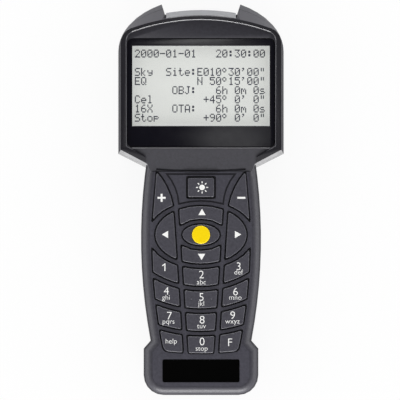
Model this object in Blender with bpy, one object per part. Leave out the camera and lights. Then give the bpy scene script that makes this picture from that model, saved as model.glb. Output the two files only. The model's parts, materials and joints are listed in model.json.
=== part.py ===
"""Telescope hand controller: a two-part handset with a display, twenty keys and a cable socket.

It lies on its back, in metres: X runs across it, Y along it towards the head, Z out of its face.
"""

import math

import bmesh
import bpy
from mathutils import Matrix, Vector

# Body
BODY_LENGTH = 0.1903
BODY_DEPTH = 0.0320
BELLY_Z = 0.0120
PARTING_Z = 0.0185
WALL = 0.0024
BACK_EDGE_WIDTH = 0.0038
BACK_EDGE_HEIGHT = 0.0055
FIT_GAP = 0.0003
CUT_MARGIN = 0.0010

# Head, with its horns, rim and sunk panel
HEAD_WIDTH = 0.0806
HEAD_LENGTH = 0.0710
HEAD_LEAN = 0.0013
HEAD_EDGE_SLOPE = 0.50
HEAD_EDGE_LEAN = 0.0026
HORN_RISE = 0.0261
HORN_SPACING = 0.0380
RIM_DROP = 0.0060
RIM_TOP_RADIUS = 0.1000
RIM_CORNER_RADIUS = 0.0075
RIM_HEIGHT = 0.0010
RIM_SIDE_WIDTH = 0.0030
RIM_TOP_WIDTH = 0.0021
RIM_LOW_WIDTH = 0.0035
PANEL_EDGE_SLOPE = 0.63
PANEL_CORNER_RADIUS = 0.0044
HEAD_PLATE = 0.0038

# Reading lamp between the horns
NOTCH_WIDTH = 0.0346
NOTCH_SLANT = 0.312
LENS_DROP = 0.0028
LENS_THICKNESS = 0.0016
LENS_LIP = 0.0009
LENS_STEP = 0.0008
LED_RADIUS = 0.0015
LED_FLANGE_RADIUS = 0.0019
LED_FLANGE_THICKNESS = 0.0010
LED_LENGTH = 0.0054
LED_SPACING = 0.0090

# Neck and grip
NECK_LENGTH = 0.0094
NECK_TOP_DROP = 0.0010
NECK_WIDTH = 0.0496
NECK_SHOULDER_WIDTH = 0.0524
NECK_SAG = 0.0008
NECK_GROOVE_WIDTH = 0.0009
NECK_GROOVE_DEPTH = 0.0006
NECK_OVERLAP = 0.0052
GRIP_Z = 0.0275
GRIP_PLATE = 0.0020
GRIP_WIDTH = 0.0584
GRIP_WIDEST_DROP = 0.0340
GRIP_SIDE_RADIUS = 0.2640
GRIP_WALL = 0.0037
FRONT_EDGE_WIDTH = 0.0044
FRONT_EDGE_HEIGHT = 0.0060
ARCH_RISE = 0.0035
ARCH_TOP_DROP = 0.0068
ARCH_BASE_RISE = 0.0030

# Base, with its name plate
BASE_WIDTH = 0.0558
BASE_LENGTH = 0.0225
BASE_SHOULDER = 0.0039
BASE_CORNER_RADIUS = 0.0097
NAME_PLATE_WIDTH = 0.0370
NAME_PLATE_HEIGHT = 0.0107
NAME_PLATE_RISE = 0.0065
NAME_PLATE_THICKNESS = 0.0006
NAME_PLATE_SUNK = 0.0002
NAME_PLATE_CORNER_RADIUS = 0.0008

# Display
WINDOW_SIDE_GAP = 0.0003
WINDOW_HEIGHT = 0.0526
WINDOW_DROP = 0.0110
WINDOW_CORNER_RADIUS = 0.0030
WINDOW_THICKNESS = 0.0015
WINDOW_SUNK = 0.0004
TAPE_THICKNESS = 0.0004
TAPE_SETBACK = 0.0006
VIEW_SIDE_BORDER = 0.0023
VIEW_HEIGHT = 0.0389
VIEW_DROP = 0.0035
VIEW_MARGIN = 0.0004
LCD_BORDER = 0.0018
LCD_FRAME_SHEET = 0.0005
LCD_GLASS_THICKNESS = 0.0020
BACKLIGHT_THICKNESS = 0.0018

# Keypad
PAD_DROP = 0.0319
SIDE_BAND = 0.0053
KEY_TRAVEL = 0.0008
KEY_PROUD = 0.0009
KEY_GAP = 0.0005
KEY_CORNER_RADIUS = 0.0007
KEY_CHAMFER = 0.0003
KEY_FLANGE = 0.0007
KEY_FLANGE_THICKNESS = 0.0008
ENTER_KEY_WIDTH = 0.0186
ENTER_KEY_HEIGHT = 0.0105
ENTER_CAP_RADIUS = 0.0044
ENTER_CAP_THICKNESS = 0.0013
ENTER_CAP_PROUD = 0.0003
ENTER_CAP_GAP = 0.00015
ARROW_RING_WIDTH = 0.0448
ARROW_RING_HEIGHT = 0.0284
RING_WEB_WIDTH = 0.00345
RING_WEB_HEIGHT = 0.0023
COLUMN_WIDTH = 0.0200
COLUMN_TAPER = 0.0655
COLUMN_WEB = 0.0024
ROW_COUNT = 4
ROW_WEB = 0.0024
ROW_ARC_RISE = 0.0181
LAST_ROW_RISE = 0.0030
LAST_ROW_RADIUS = 0.1600
LAST_ROW_CORNER_RADIUS = 0.0036
SPEED_KEY_TIP_DROP = 0.0006
SPEED_KEY_BULGE = 0.0013
LIGHT_KEY_WIDTH = 0.0134
LIGHT_KEY_HEIGHT = 0.0100
LIGHT_KEY_DROP = 0.0039
LIGHT_KEY_GAP = 0.0007
LIGHT_PANEL_DROP = 0.0024
LIGHT_PANEL_WEB = 0.0026
PANEL_GROOVE_WIDTH = 0.0008
PANEL_GROOVE_DEPTH = 0.0004

# Silicone mat
MAT_THICKNESS = 0.0008
MAT_MARGIN = 0.0006
DOME_BASE_RADIUS = 0.0032
DOME_TOP_RADIUS = 0.0020
DOME_WALL = 0.0007
DOME_SPARE = 0.0008

# Boards and what is on them
BOARD_THICKNESS = 0.0016
BOARD_MARGIN = 0.0010
BOARD_TAIL_WIDTH = 0.0210
BOARD_TAIL_LENGTH = 0.0090
LCD_BOARD_TAB_WIDTH = 0.0270
LCD_BOARD_TAB_LENGTH = 0.0046
LCD_BOARD_FOOT_SETBACK = 0.0031
LCD_BOARD_FOOT_LENGTH = 0.0050
PROCESSOR_SIZE = 0.0140
PROCESSOR_THICKNESS = 0.0015
MEMORY_LENGTH = 0.0110
MEMORY_WIDTH = 0.0080
MEMORY_THICKNESS = 0.0018
CRYSTAL_LENGTH = 0.0110
CRYSTAL_WIDTH = 0.0046
CRYSTAL_HEIGHT = 0.0035
CHIP_SPACING = 0.0160
CELL_RADIUS = 0.0100
CELL_THICKNESS = 0.0032
CELL_HOLDER_WALL = 0.0015
CELL_HOLDER_FLOOR = 0.0010
RIBBON_WIDTH = 0.0240
RIBBON_THICKNESS = 0.0004
RIBBON_OVERLAP = 0.0040

# Cable socket in the base end
SOCKET_WIDTH = 0.0132
SOCKET_HEIGHT = 0.0120
SOCKET_LENGTH = 0.0160
SOCKET_SUNK = 0.0004
SOCKET_BACK_WALL = 0.0012
PLUG_WIDTH = 0.0099
PLUG_HEIGHT = 0.0086
LATCH_WIDTH = 0.0062
LATCH_HEIGHT = 0.0020
CONTACT_COUNT = 6
CONTACT_PITCH = 0.00127
CONTACT_WIRE = 0.0005
CONTACT_REACH = 0.0070
CONTACT_BLOCK = 0.0030
CONTACT_DROP = 0.0026

# Screws and their bosses
CASE_SCREW_RADIUS = 0.0012
CASE_SCREW_HEAD_RADIUS = 0.0023
CASE_SCREW_HEAD_HEIGHT = 0.0017
CASE_SCREW_BITE = 0.0060
CASE_BOSS_RADIUS = 0.0029
CASE_SCREW_SINK = 0.0010
TOP_SCREW_SETBACK = 0.0130
BOARD_SCREW_RADIUS = 0.0009
BOARD_SCREW_HEAD_RADIUS = 0.0019
BOARD_SCREW_HEAD_HEIGHT = 0.0013
BOARD_SCREW_BITE = 0.0026
BOARD_BOSS_RADIUS = 0.0021
SCREW_CLEARANCE = 0.0003
PILOT_CLEARANCE = 0.00015
PILOT_SPARE = 0.0010

# Numbers of chords in the round stretches
CORNER_STEPS = 5
DOME_STEPS = 9
EDGE_STEPS = 5
GRIP_STEPS = 10
OVAL_STEPS = 24
KEY_ARC_STEPS = 4
ROUND_SIDES = 12
MEETING_ROUNDS = 30
FLAT_ANGLE = math.radians(0.01)
WELD = 2e-6

# Heights that follow from the sizes above
TIP_Y = BODY_LENGTH / 2
BASE_Y = -BODY_LENGTH / 2
PANEL_Z = BODY_DEPTH - RIM_HEIGHT
WINDOW_LOW = PANEL_Z - WINDOW_SUNK - WINDOW_THICKNESS
TAPE_LOW = WINDOW_LOW - FIT_GAP - TAPE_THICKNESS
LEDGE_Z = TAPE_LOW - FIT_GAP
HEAD_ROOF_Z = PANEL_Z - HEAD_PLATE
LCD_FRAME_TOP = HEAD_ROOF_Z - FIT_GAP
LCD_GLASS_TOP = LCD_FRAME_TOP - LCD_FRAME_SHEET - FIT_GAP
BACKLIGHT_TOP = LCD_GLASS_TOP - LCD_GLASS_THICKNESS - FIT_GAP
LCD_BOARD_TOP = BACKLIGHT_TOP - BACKLIGHT_THICKNESS - FIT_GAP
GRIP_ROOF_Z = GRIP_Z - GRIP_PLATE
FLANGE_TOP = GRIP_ROOF_Z - FIT_GAP
FLANGE_LOW = FLANGE_TOP - KEY_FLANGE_THICKNESS
DOME_TOP = FLANGE_LOW - FIT_GAP
MAT_TOP = DOME_TOP - KEY_TRAVEL - DOME_SPARE
MAT_LOW = MAT_TOP - MAT_THICKNESS
BOARD_TOP = MAT_LOW - FIT_GAP
BOARD_LOW = BOARD_TOP - BOARD_THICKNESS
SOCKET_TOP = BOARD_LOW - FIT_GAP

# Places along and across the body that follow from the sizes above
BELLY_HALF = HEAD_WIDTH / 2
RIM_HALF = BELLY_HALF - HEAD_LEAN
RIM_TOP_Y = TIP_Y - RIM_DROP
RIM_CORNER_Y = TIP_Y - HEAD_LENGTH
NECK_Y = RIM_CORNER_Y - NECK_LENGTH
NECK_HALF = NECK_WIDTH / 2
HORN_CENTRE_Y = TIP_Y - HORN_RISE * math.sqrt(1 - (HORN_SPACING / HEAD_WIDTH) ** 2)
WINDOW_WIDTH = 2 * (RIM_HALF - RIM_SIDE_WIDTH - WINDOW_SIDE_GAP)
WINDOW_TOP_Y = RIM_TOP_Y - WINDOW_DROP
WINDOW_LOW_Y = WINDOW_TOP_Y - WINDOW_HEIGHT
VIEW_WIDTH = WINDOW_WIDTH - 2 * VIEW_SIDE_BORDER
VIEW_TOP_Y = WINDOW_TOP_Y - VIEW_DROP
VIEW_LOW_Y = VIEW_TOP_Y - VIEW_HEIGHT
CAVITY_HALF = RIM_HALF - WALL
CAVITY_TOP_Y = RIM_TOP_Y - LENS_THICKNESS - FIT_GAP - WALL
LENS_CREST_Y = TIP_Y - LENS_DROP
LENS_TOP_Z = BODY_DEPTH - LENS_LIP - FIT_GAP
NECK_TOP_Y = WINDOW_LOW_Y - NECK_TOP_DROP
NECK_FOOT_Y = NECK_Y - NECK_SAG - NECK_GROOVE_WIDTH / 2
GRIP_TOP_Y = NECK_Y + NECK_OVERLAP
GRIP_WIDEST_Y = NECK_Y - GRIP_WIDEST_DROP
BASE_TOP_Y = BASE_Y + BASE_LENGTH
WAIST_Y = BASE_TOP_Y + BASE_SHOULDER
PAD_Y = NECK_Y - PAD_DROP
FIRST_ROW_Y = PAD_Y - ARROW_RING_HEIGHT / 2 - RING_WEB_HEIGHT
PAD_LOW_Y = BASE_Y + NAME_PLATE_RISE + NAME_PLATE_HEIGHT + LAST_ROW_RISE
ROW_PITCH = (FIRST_ROW_Y - PAD_LOW_Y + ROW_WEB) / ROW_COUNT
ROW_HEIGHT = ROW_PITCH - ROW_WEB
LCD_LOW_Y = VIEW_LOW_Y - LCD_BORDER
LCD_TOP_Y = VIEW_TOP_Y + LCD_BORDER
LCD_HALF = VIEW_WIDTH / 2 + LCD_BORDER
LED_Z = LCD_BOARD_TOP + FIT_GAP + LED_FLANGE_RADIUS
LED_BASE_Y = CAVITY_TOP_Y - LED_FLANGE_THICKNESS - 2 * FIT_GAP

# Screw places, as the right one of each pair
TOP_CASE_SCREW = (RIM_HALF - TOP_SCREW_SETBACK, CAVITY_TOP_Y - CASE_BOSS_RADIUS / 2)
MID_CASE_SCREW = (CAVITY_HALF - CASE_BOSS_RADIUS + FIT_GAP, RIM_CORNER_Y + CASE_BOSS_RADIUS + 2 * FIT_GAP)
LOW_CASE_SCREW = (BASE_WIDTH / 2 - 3 * CASE_BOSS_RADIUS, BASE_Y + 3 * CASE_BOSS_RADIUS)
LED_ROOM_HALF = LED_SPACING / 2 + LED_FLANGE_RADIUS + FIT_GAP
TOP_LCD_SCREW = (LED_ROOM_HALF + FIT_GAP + BOARD_BOSS_RADIUS, LCD_TOP_Y + BOARD_BOSS_RADIUS)
LCD_BOARD_FOOT_HALF = MID_CASE_SCREW[0] - CASE_BOSS_RADIUS - LCD_BOARD_FOOT_SETBACK
LOW_LCD_SCREW = (LCD_BOARD_FOOT_HALF - 2 * BOARD_BOSS_RADIUS, LCD_LOW_Y - BOARD_BOSS_RADIUS)
TOP_BOARD_SCREW = (NECK_HALF - 3 * BOARD_BOSS_RADIUS, NECK_Y + NECK_OVERLAP)

# Colours of the parts, as linear red, green and blue
DARK_GREY = (0.048, 0.047, 0.054)
KEY_GREY = (0.066, 0.065, 0.073)
BLACK = (0.006, 0.006, 0.007)
DISPLAY_WHITE = (0.66, 0.67, 0.61)
FROSTED_GREY = (0.32, 0.32, 0.32)
YELLOW = (0.92, 0.70, 0.003)
BOARD_GREEN = (0.010, 0.100, 0.035)
STEEL = (0.55, 0.55, 0.56)
SILICONE_GREY = (0.22, 0.22, 0.23)
LED_RED = (0.55, 0.01, 0.01)
RIBBON_AMBER = (0.45, 0.20, 0.03)
GOLD = (0.80, 0.56, 0.18)


# Outlines: closed lists of (x, y) points that run anticlockwise
def arc(centre_x, centre_y, radius, start, end, steps):
    """Points of an arc between two angles, with both ends."""
    angles = [start + (end - start) * step / steps for step in range(steps + 1)]
    return [(centre_x + radius * math.cos(a), centre_y + radius * math.sin(a)) for a in angles]


def oval(centre_y, width, height, steps):
    """A whole ellipse on the middle line."""
    angles = [math.tau * step / steps for step in range(steps)]
    return [(width / 2 * math.cos(a), centre_y + height / 2 * math.sin(a)) for a in angles]


def mirrored(right_half):
    """Closes a right half, which runs up from the bottom centre, with its mirror image."""
    left_half = [(-x, y) for x, y in reversed(right_half) if x > 1e-9]
    return right_half + left_half


def flipped(outline):
    """The mirror image of an outline across the middle line."""
    return [(-x, y) for x, y in reversed(outline)]


def inset(outline, distance):
    """The outline moved inwards by a distance, or outwards by a negative one."""
    moved = []
    for index, point in enumerate(outline):
        here = Vector(point)
        into = (here - Vector(outline[index - 1])).normalized()
        away = (Vector(outline[(index + 1) % len(outline)]) - here).normalized()
        normal = Vector((-into.y, into.x))
        middle = (normal + Vector((-away.y, away.x))).normalized()
        moved.append(tuple(here + middle * distance / middle.dot(normal)))
    return moved


def corner_curve(before, corner, after, radius, steps):
    """Points that round one corner; they take at most half of its shorter side."""
    here = Vector(corner)
    back, onward = Vector(before) - here, Vector(after) - here
    turn = math.pi - back.angle(onward)
    reach = min(radius * min(math.tan(turn / 2), 2.0), back.length / 2, onward.length / 2)
    start, end = here + back.normalized() * reach, here + onward.normalized() * reach
    shares = [step / steps for step in range(steps + 1)]
    return [tuple(start.lerp(here, share).lerp(here.lerp(end, share), share)) for share in shares]


def rounded(outline, radius, steps=2, least_turn=math.radians(45)):
    """The outline with its sharp corners rounded."""
    soft = []
    for index, point in enumerate(outline):
        before, after = outline[index - 1], outline[(index + 1) % len(outline)]
        into, away = Vector(point) - Vector(before), Vector(after) - Vector(point)
        sharp = into.angle(away) > least_turn
        soft += corner_curve(before, point, after, radius, steps) if sharp else [point]
    return soft


def rectangle(width, low_y, high_y, radius=0.0):
    """A rectangle on the middle line, with rounded corners if it has a radius."""
    half = width / 2
    corners = [(-half, low_y), (half, low_y), (half, high_y), (-half, high_y)]
    return rounded(corners, radius, CORNER_STEPS) if radius else corners


def circle(centre, radius, sides=ROUND_SIDES):
    return arc(*centre, radius, 0, math.tau, sides)[:-1]


def domed_side(half, apex_y, top_radius, corner_radius):
    """Right side of a domed top: the corner, tangent to the side, and then the dome to its apex."""
    dome_y = apex_y - top_radius
    corner_x = half - corner_radius
    corner_y = dome_y + math.sqrt((top_radius - corner_radius) ** 2 - corner_x**2)
    turn = math.atan2(corner_y - dome_y, corner_x)
    corner = arc(corner_x, corner_y, corner_radius, 0, turn, CORNER_STEPS)
    return corner + arc(0, dome_y, top_radius, turn, math.pi / 2, DOME_STEPS)[1:]


def head_edge_y(x):
    """Height along the handset of the rim's slanting lower edge."""
    return RIM_CORNER_Y + (x - RIM_HALF) * HEAD_EDGE_SLOPE


def neck_line_y(x):
    """The sagging line where the neck meets the keypad."""
    return NECK_Y - NECK_SAG * (1 - (x / NECK_HALF) ** 2)


def head_outline(half, lean, top):
    """The head's outline for a half width, how far its lower edges lean out, and its top."""
    shares = [step / CORNER_STEPS for step in range(CORNER_STEPS + 1)]
    foot = [(NECK_HALF * share, neck_line_y(NECK_HALF * share) - lean) for share in shares]
    edge = [(x, head_edge_y(x) - lean) for x in (NECK_SHOULDER_WIDTH / 2, half)]
    return mirrored(foot + edge + top)


def rim_top():
    return domed_side(RIM_HALF, RIM_TOP_Y, RIM_TOP_RADIUS, RIM_CORNER_RADIUS)


def horn_top():
    """Top of the widest section: a half ellipse, point for point beside the rim."""
    across = [x / RIM_HALF for x, _ in rim_top()]
    return [(BELLY_HALF * u, HORN_CENTRE_Y + HORN_RISE * math.sqrt(max(0.0, 1 - u * u))) for u in across]


def grip_half(y):
    """Half width of the grip, whose sides are one long arc."""
    fall = y - GRIP_WIDEST_Y
    return GRIP_WIDTH / 2 - GRIP_SIDE_RADIUS + math.sqrt(GRIP_SIDE_RADIUS**2 - fall**2)


def grip_outline(top_y):
    """Outline of the base and the grip, up to where it ends inside the head."""
    corner_x = BASE_WIDTH / 2 - BASE_CORNER_RADIUS
    corner = arc(corner_x, BASE_Y + BASE_CORNER_RADIUS, BASE_CORNER_RADIUS, -math.pi / 2, 0, CORNER_STEPS)
    heights = [WAIST_Y + (top_y - WAIST_Y) * step / GRIP_STEPS for step in range(GRIP_STEPS + 1)]
    side = [(grip_half(y), y) for y in heights]
    return mirrored([(0.0, BASE_Y)] + corner + [(BASE_WIDTH / 2, BASE_TOP_Y)] + side + [(0.0, top_y)])


# Key outlines, along the middle of the gap round each key
def ring_y(grow, side):
    """Height of the arrow keys' outer oval, grown by some webs, above (1) or below (-1) its centre."""
    half_width = ARROW_RING_WIDTH / 2 + grow * RING_WEB_WIDTH
    half_height = ARROW_RING_HEIGHT / 2 + grow * RING_WEB_HEIGHT
    return lambda x: PAD_Y + side * half_height * math.sqrt(max(0.0, 1 - (x / half_width) ** 2))


def enter_ring_y(side):
    """Height of the oval web round the enter key."""
    half_width = ENTER_KEY_WIDTH / 2 + RING_WEB_WIDTH
    half_height = ENTER_KEY_HEIGHT / 2 + RING_WEB_HEIGHT
    return lambda x: PAD_Y + side * half_height * math.sqrt(max(0.0, 1 - (x / half_width) ** 2))


def row_y(apex_y):
    """Height of one edge of a key row: the edges are arcs round one centre above the arrow keys."""
    centre_y = PAD_Y + ROW_ARC_RISE
    return lambda x: centre_y - math.sqrt((centre_y - apex_y) ** 2 - x * x)


def last_row_y(x):
    return PAD_LOW_Y + LAST_ROW_RADIUS - math.sqrt(LAST_ROW_RADIUS**2 - x * x)


def column_x(y):
    """Edge of the middle column, which narrows towards the base."""
    return COLUMN_WIDTH / 2 + (y - PAD_Y) * COLUMN_TAPER


def side_column_x(y):
    return column_x(y) + COLUMN_WEB


def pad_edge_x(y):
    return grip_half(y) - SIDE_BAND


def meeting(x_of_y, y_of_x):
    """The corner where a column edge meets a row edge."""
    y = PAD_Y
    for _ in range(MEETING_ROUNDS):
        y = y_of_x(x_of_y(y))
    return x_of_y(y), y


def along(y_of_x, start, end):
    """Points along a row edge between two corners, without the last."""
    steps = [start + (end - start) * step / KEY_ARC_STEPS for step in range(KEY_ARC_STEPS)]
    return [(x, y_of_x(x)) for x in steps]


def cell(left, right, low, high):
    """A key between two column edges and two row edges."""
    low_left, low_right = meeting(left, low), meeting(right, low)
    high_right, high_left = meeting(right, high), meeting(left, high)
    bottom = along(low, low_left[0], low_right[0])
    top = along(high, high_right[0], high_left[0])
    return bottom + [low_right] + top + [high_left]


def middle_key(low, high):
    return cell(lambda y: -column_x(y), column_x, low, high)


def side_key(low, high):
    return cell(side_column_x, pad_edge_x, low, high)


def last_side_key(high):
    """Bottom right key, whose outer corner is well rounded."""
    low_left, low_right = meeting(side_column_x, last_row_y), meeting(pad_edge_x, last_row_y)
    high_right, high_left = meeting(pad_edge_x, high), meeting(side_column_x, high)
    curve = corner_curve(low_left, low_right, high_right, LAST_ROW_CORNER_RADIUS, CORNER_STEPS)
    top = along(high, high_right[0], high_left[0])
    return [low_left] + curve + top + [high_left]


def right_arrow():
    """Right arrow key: the part of the oval outside the side column's edge."""
    low, high = meeting(side_column_x, ring_y(0, -1)), meeting(side_column_x, ring_y(0, 1))
    half_width, half_height = ARROW_RING_WIDTH / 2, ARROW_RING_HEIGHT / 2
    start = math.atan2((low[1] - PAD_Y) / half_height, low[0] / half_width)
    end = math.atan2((high[1] - PAD_Y) / half_height, high[0] / half_width)
    round_side = arc(0, 0, 1, start, end, 3 * KEY_ARC_STEPS)
    return [(x * half_width, PAD_Y + y * half_height) for x, y in round_side]


def bulged(start, end, bulge):
    """Points of a shallow arc from start to end that swells to its left, without the last."""
    start, end = Vector(start), Vector(end)
    left = Vector((start.y - end.y, end.x - start.x)).normalized()
    shares = [step / KEY_ARC_STEPS for step in range(KEY_ARC_STEPS)]
    return [tuple(start.lerp(end, s) + left * bulge * 4 * s * (1 - s)) for s in shares]


def speed_key():
    """Right speed key: a sail shape between the oval, the keypad's edge and a swelling inner side."""
    tip_y = NECK_Y - SPEED_KEY_TIP_DROP
    tip = (pad_edge_x(tip_y), tip_y)
    over_ring = ring_y(1, 1)
    inner, outer = meeting(side_column_x, over_ring), meeting(pad_edge_x, over_ring)
    inner_side = bulged(inner, tip, SPEED_KEY_BULGE)
    bottom = along(over_ring, inner[0], outer[0])
    return [tip] + inner_side[:0:-1] + bottom + [outer]


def light_key():
    high_y = NECK_Y - LIGHT_KEY_DROP
    return rectangle(LIGHT_KEY_WIDTH, high_y - LIGHT_KEY_HEIGHT, high_y)


def light_panel():
    """Engraved panel round the light key, between the speed keys and the oval."""
    high_y = NECK_Y - LIGHT_PANEL_DROP
    over_ring = ring_y(1, 1)
    low = meeting(lambda y: side_column_x(y) - LIGHT_PANEL_WEB, over_ring)
    tip_y = NECK_Y - SPEED_KEY_TIP_DROP
    high = (pad_edge_x(tip_y) - 2 * LIGHT_PANEL_WEB, high_y)
    side = bulged(low, high, SPEED_KEY_BULGE)
    bottom = along(over_ring, -low[0], low[0])
    return bottom + side + [high] + [(-x, y) for x, y in [high] + side[:0:-1]]


def key_outlines():
    """Every key's outline by the name of its node."""
    low, high = ring_y(0, -1), ring_y(0, 1)
    keys = {
        "key_light": light_key(),
        "key_minus": speed_key(),
        "key_plus": flipped(speed_key()),
        "key_up": middle_key(enter_ring_y(1), high),
        "key_down": middle_key(low, enter_ring_y(-1)),
        "key_right": right_arrow(),
        "key_left": flipped(right_arrow()),
        "key_enter": oval(PAD_Y, ENTER_KEY_WIDTH, ENTER_KEY_HEIGHT, OVAL_STEPS),
    }
    names = [("1", "2", "3"), ("4", "5", "6"), ("7", "8", "9")]
    for row, (left, middle, right) in enumerate(names):
        top_y = FIRST_ROW_Y - row * ROW_PITCH
        top = row_y(top_y) if row else ring_y(1, -1)
        bottom = row_y(top_y - ROW_HEIGHT)
        keys["key_" + left] = flipped(side_key(bottom, top))
        keys["key_" + middle] = middle_key(bottom, top)
        keys["key_" + right] = side_key(bottom, top)
    last_top = row_y(FIRST_ROW_Y - len(names) * ROW_PITCH)
    keys["key_help"] = flipped(last_side_key(last_top))
    keys["key_0"] = middle_key(last_row_y, last_top)
    keys["key_f"] = last_side_key(last_top)
    return keys


def key_shape(outline, distance):
    """A key outline moved inwards, or outwards by a negative distance, with its corners rounded."""
    return rounded(inset(outline, distance), KEY_CORNER_RADIUS)


def middle_of(outline):
    """Centre of area of an outline."""
    area = along_x = along_y = 0.0
    for index, (x, y) in enumerate(outline):
        before_x, before_y = outline[index - 1]
        cross = before_x * y - x * before_y
        area += cross
        along_x += (before_x + x) * cross
        along_y += (before_y + y) * cross
    return along_x / (3 * area), along_y / (3 * area)


# Solids
def finish(name, mesh_work, paint=None):
    """Turns a bmesh into a named object with flat faces, outward normals and its material."""
    bmesh.ops.connect_verts_nonplanar(mesh_work, angle_limit=FLAT_ANGLE, faces=mesh_work.faces)
    bmesh.ops.recalc_face_normals(mesh_work, faces=mesh_work.faces)
    mesh = bpy.data.meshes.new(name)
    mesh_work.to_mesh(mesh)
    mesh_work.free()
    piece = bpy.data.objects.new(name, mesh)
    bpy.context.scene.collection.objects.link(piece)
    if paint:
        mesh.materials.append(paint)
    return piece


def add_loft(mesh_work, levels):
    """Adds a closed solid through outlines of equal counts at rising heights."""
    loops = [[mesh_work.verts.new((x, y, z)) for x, y in outline] for outline, z in levels]
    for lower, upper in zip(loops, loops[1:]):
        for index in range(len(lower)):
            mesh_work.faces.new((lower[index - 1], lower[index], upper[index], upper[index - 1]))
    mesh_work.faces.new(loops[0][::-1])
    mesh_work.faces.new(loops[-1])


def loft(name, levels, paint=None):
    mesh_work = bmesh.new()
    add_loft(mesh_work, levels)
    return finish(name, mesh_work, paint)


def prisms(name, outlines, low, high, paint=None):
    """Straight solids on several outlines, in one object."""
    mesh_work = bmesh.new()
    for outline in outlines:
        add_loft(mesh_work, [(outline, low), (outline, high)])
    return finish(name, mesh_work, paint)


def prism(name, outline, low, high, paint=None):
    return prisms(name, [outline], low, high, paint)


def block(name, low, high, paint=None):
    """A box between two corners."""
    outline = [(low[0], low[1]), (high[0], low[1]), (high[0], high[1]), (low[0], high[1])]
    return prism(name, outline, low[2], high[2], paint)


def bar(name, profile, half_length, paint=None):
    """A straight bar along X with a (y, z) profile."""
    piece = prism(name, profile, -half_length, half_length, paint)
    piece.data.transform(Matrix(((0, 0, 1, 0), (1, 0, 0, 0), (0, 1, 0, 0), (0, 0, 0, 1))))
    return piece


def turned(name, profile, place, paint, sides=ROUND_SIDES, along_y=False):
    """A turned solid from a (radius, height) profile that starts and ends on its axis."""
    mesh_work = bmesh.new()
    points = [mesh_work.verts.new((radius, 0, height)) for radius, height in profile]
    edges = [mesh_work.edges.new(pair) for pair in zip(points, points[1:])]
    bmesh.ops.spin(
        mesh_work, geom=points + edges, axis=(0, 0, 1), cent=(0, 0, 0), angle=math.tau, steps=sides
    )
    bmesh.ops.remove_doubles(mesh_work, verts=mesh_work.verts, dist=WELD)
    if along_y:
        bmesh.ops.rotate(mesh_work, verts=mesh_work.verts, matrix=Matrix.Rotation(-math.pi / 2, 3, "X"))
    bmesh.ops.translate(mesh_work, verts=mesh_work.verts, vec=place)
    piece = finish(name, mesh_work, paint)
    piece.data.shade_smooth()
    piece.data.set_sharp_from_angle(angle=math.radians(40))
    return piece


def combine(piece, tool, operation):
    """Cuts (DIFFERENCE) a piece with a tool or joins (UNION) the tool to it; the tool is used up."""
    modifier = piece.modifiers.new(operation, "BOOLEAN")
    modifier.operation = operation
    modifier.solver = "EXACT"
    modifier.object = tool
    graph = bpy.context.evaluated_depsgraph_get()
    made = bpy.data.meshes.new_from_object(piece.evaluated_get(graph))
    mesh_work = bmesh.new()
    mesh_work.from_mesh(made)
    bmesh.ops.remove_doubles(mesh_work, verts=mesh_work.verts, dist=WELD)
    mesh_work.to_mesh(made)
    mesh_work.free()
    piece.modifiers.clear()
    piece.data = made
    bpy.data.objects.remove(tool)


def cut(piece, tool):
    combine(piece, tool, "DIFFERENCE")


def join(piece, tool):
    combine(piece, tool, "UNION")


def paired(*places):
    """The places given for the right side, and their mirror images."""
    return [(side * x, y) for x, y in places for side in (1, -1)]


def plain_material(name, colour, roughness, metallic=0.0):
    made = bpy.data.materials.new(name)
    made.use_nodes = True
    shader = made.node_tree.nodes["Principled BSDF"]
    shader.inputs["Base Color"].default_value = (*colour, 1.0)
    shader.inputs["Roughness"].default_value = roughness
    shader.inputs["Metallic"].default_value = metallic
    return made


# Covers
def back_edge(outline):
    """Levels of the rounded edge round the back."""
    levels = []
    for step in range(EDGE_STEPS + 1):
        angle = math.pi / 2 * step / EDGE_STEPS
        inward = BACK_EDGE_WIDTH * (1 - math.sin(angle))
        levels.append((inset(outline, inward), BACK_EDGE_HEIGHT * (1 - math.cos(angle))))
    return levels


def front_edge(outline):
    """Levels of the rounded edge round the front of the grip and the base."""
    levels = []
    for step in range(EDGE_STEPS + 1):
        angle = math.pi / 2 * step / EDGE_STEPS
        inward = FRONT_EDGE_WIDTH * (1 - math.cos(angle))
        levels.append((inset(outline, inward), GRIP_Z - FRONT_EDGE_HEIGHT * (1 - math.sin(angle))))
    return levels


def arch(thickness):
    """Bar that arches the back of the grip, or, made thicker, the floor over the arch."""
    top_y, low_y = NECK_Y - ARCH_TOP_DROP, WAIST_Y + ARCH_BASE_RISE
    half_chord = (top_y - low_y) / 2
    radius = (half_chord**2 + ARCH_RISE**2) / (2 * ARCH_RISE)
    centre_y, centre_z = (top_y + low_y) / 2, ARCH_RISE - radius
    spread = math.asin(half_chord / radius) + thickness / radius
    start, end = math.pi / 2 - spread, math.pi / 2 + spread
    profile = arc(centre_y, centre_z, radius + thickness, start, end, GRIP_STEPS)
    foot_z = -CUT_MARGIN - thickness
    profile += [(profile[-1][0], foot_z), (profile[0][0], foot_z)]
    return bar("arch", profile, HEAD_WIDTH)


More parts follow.
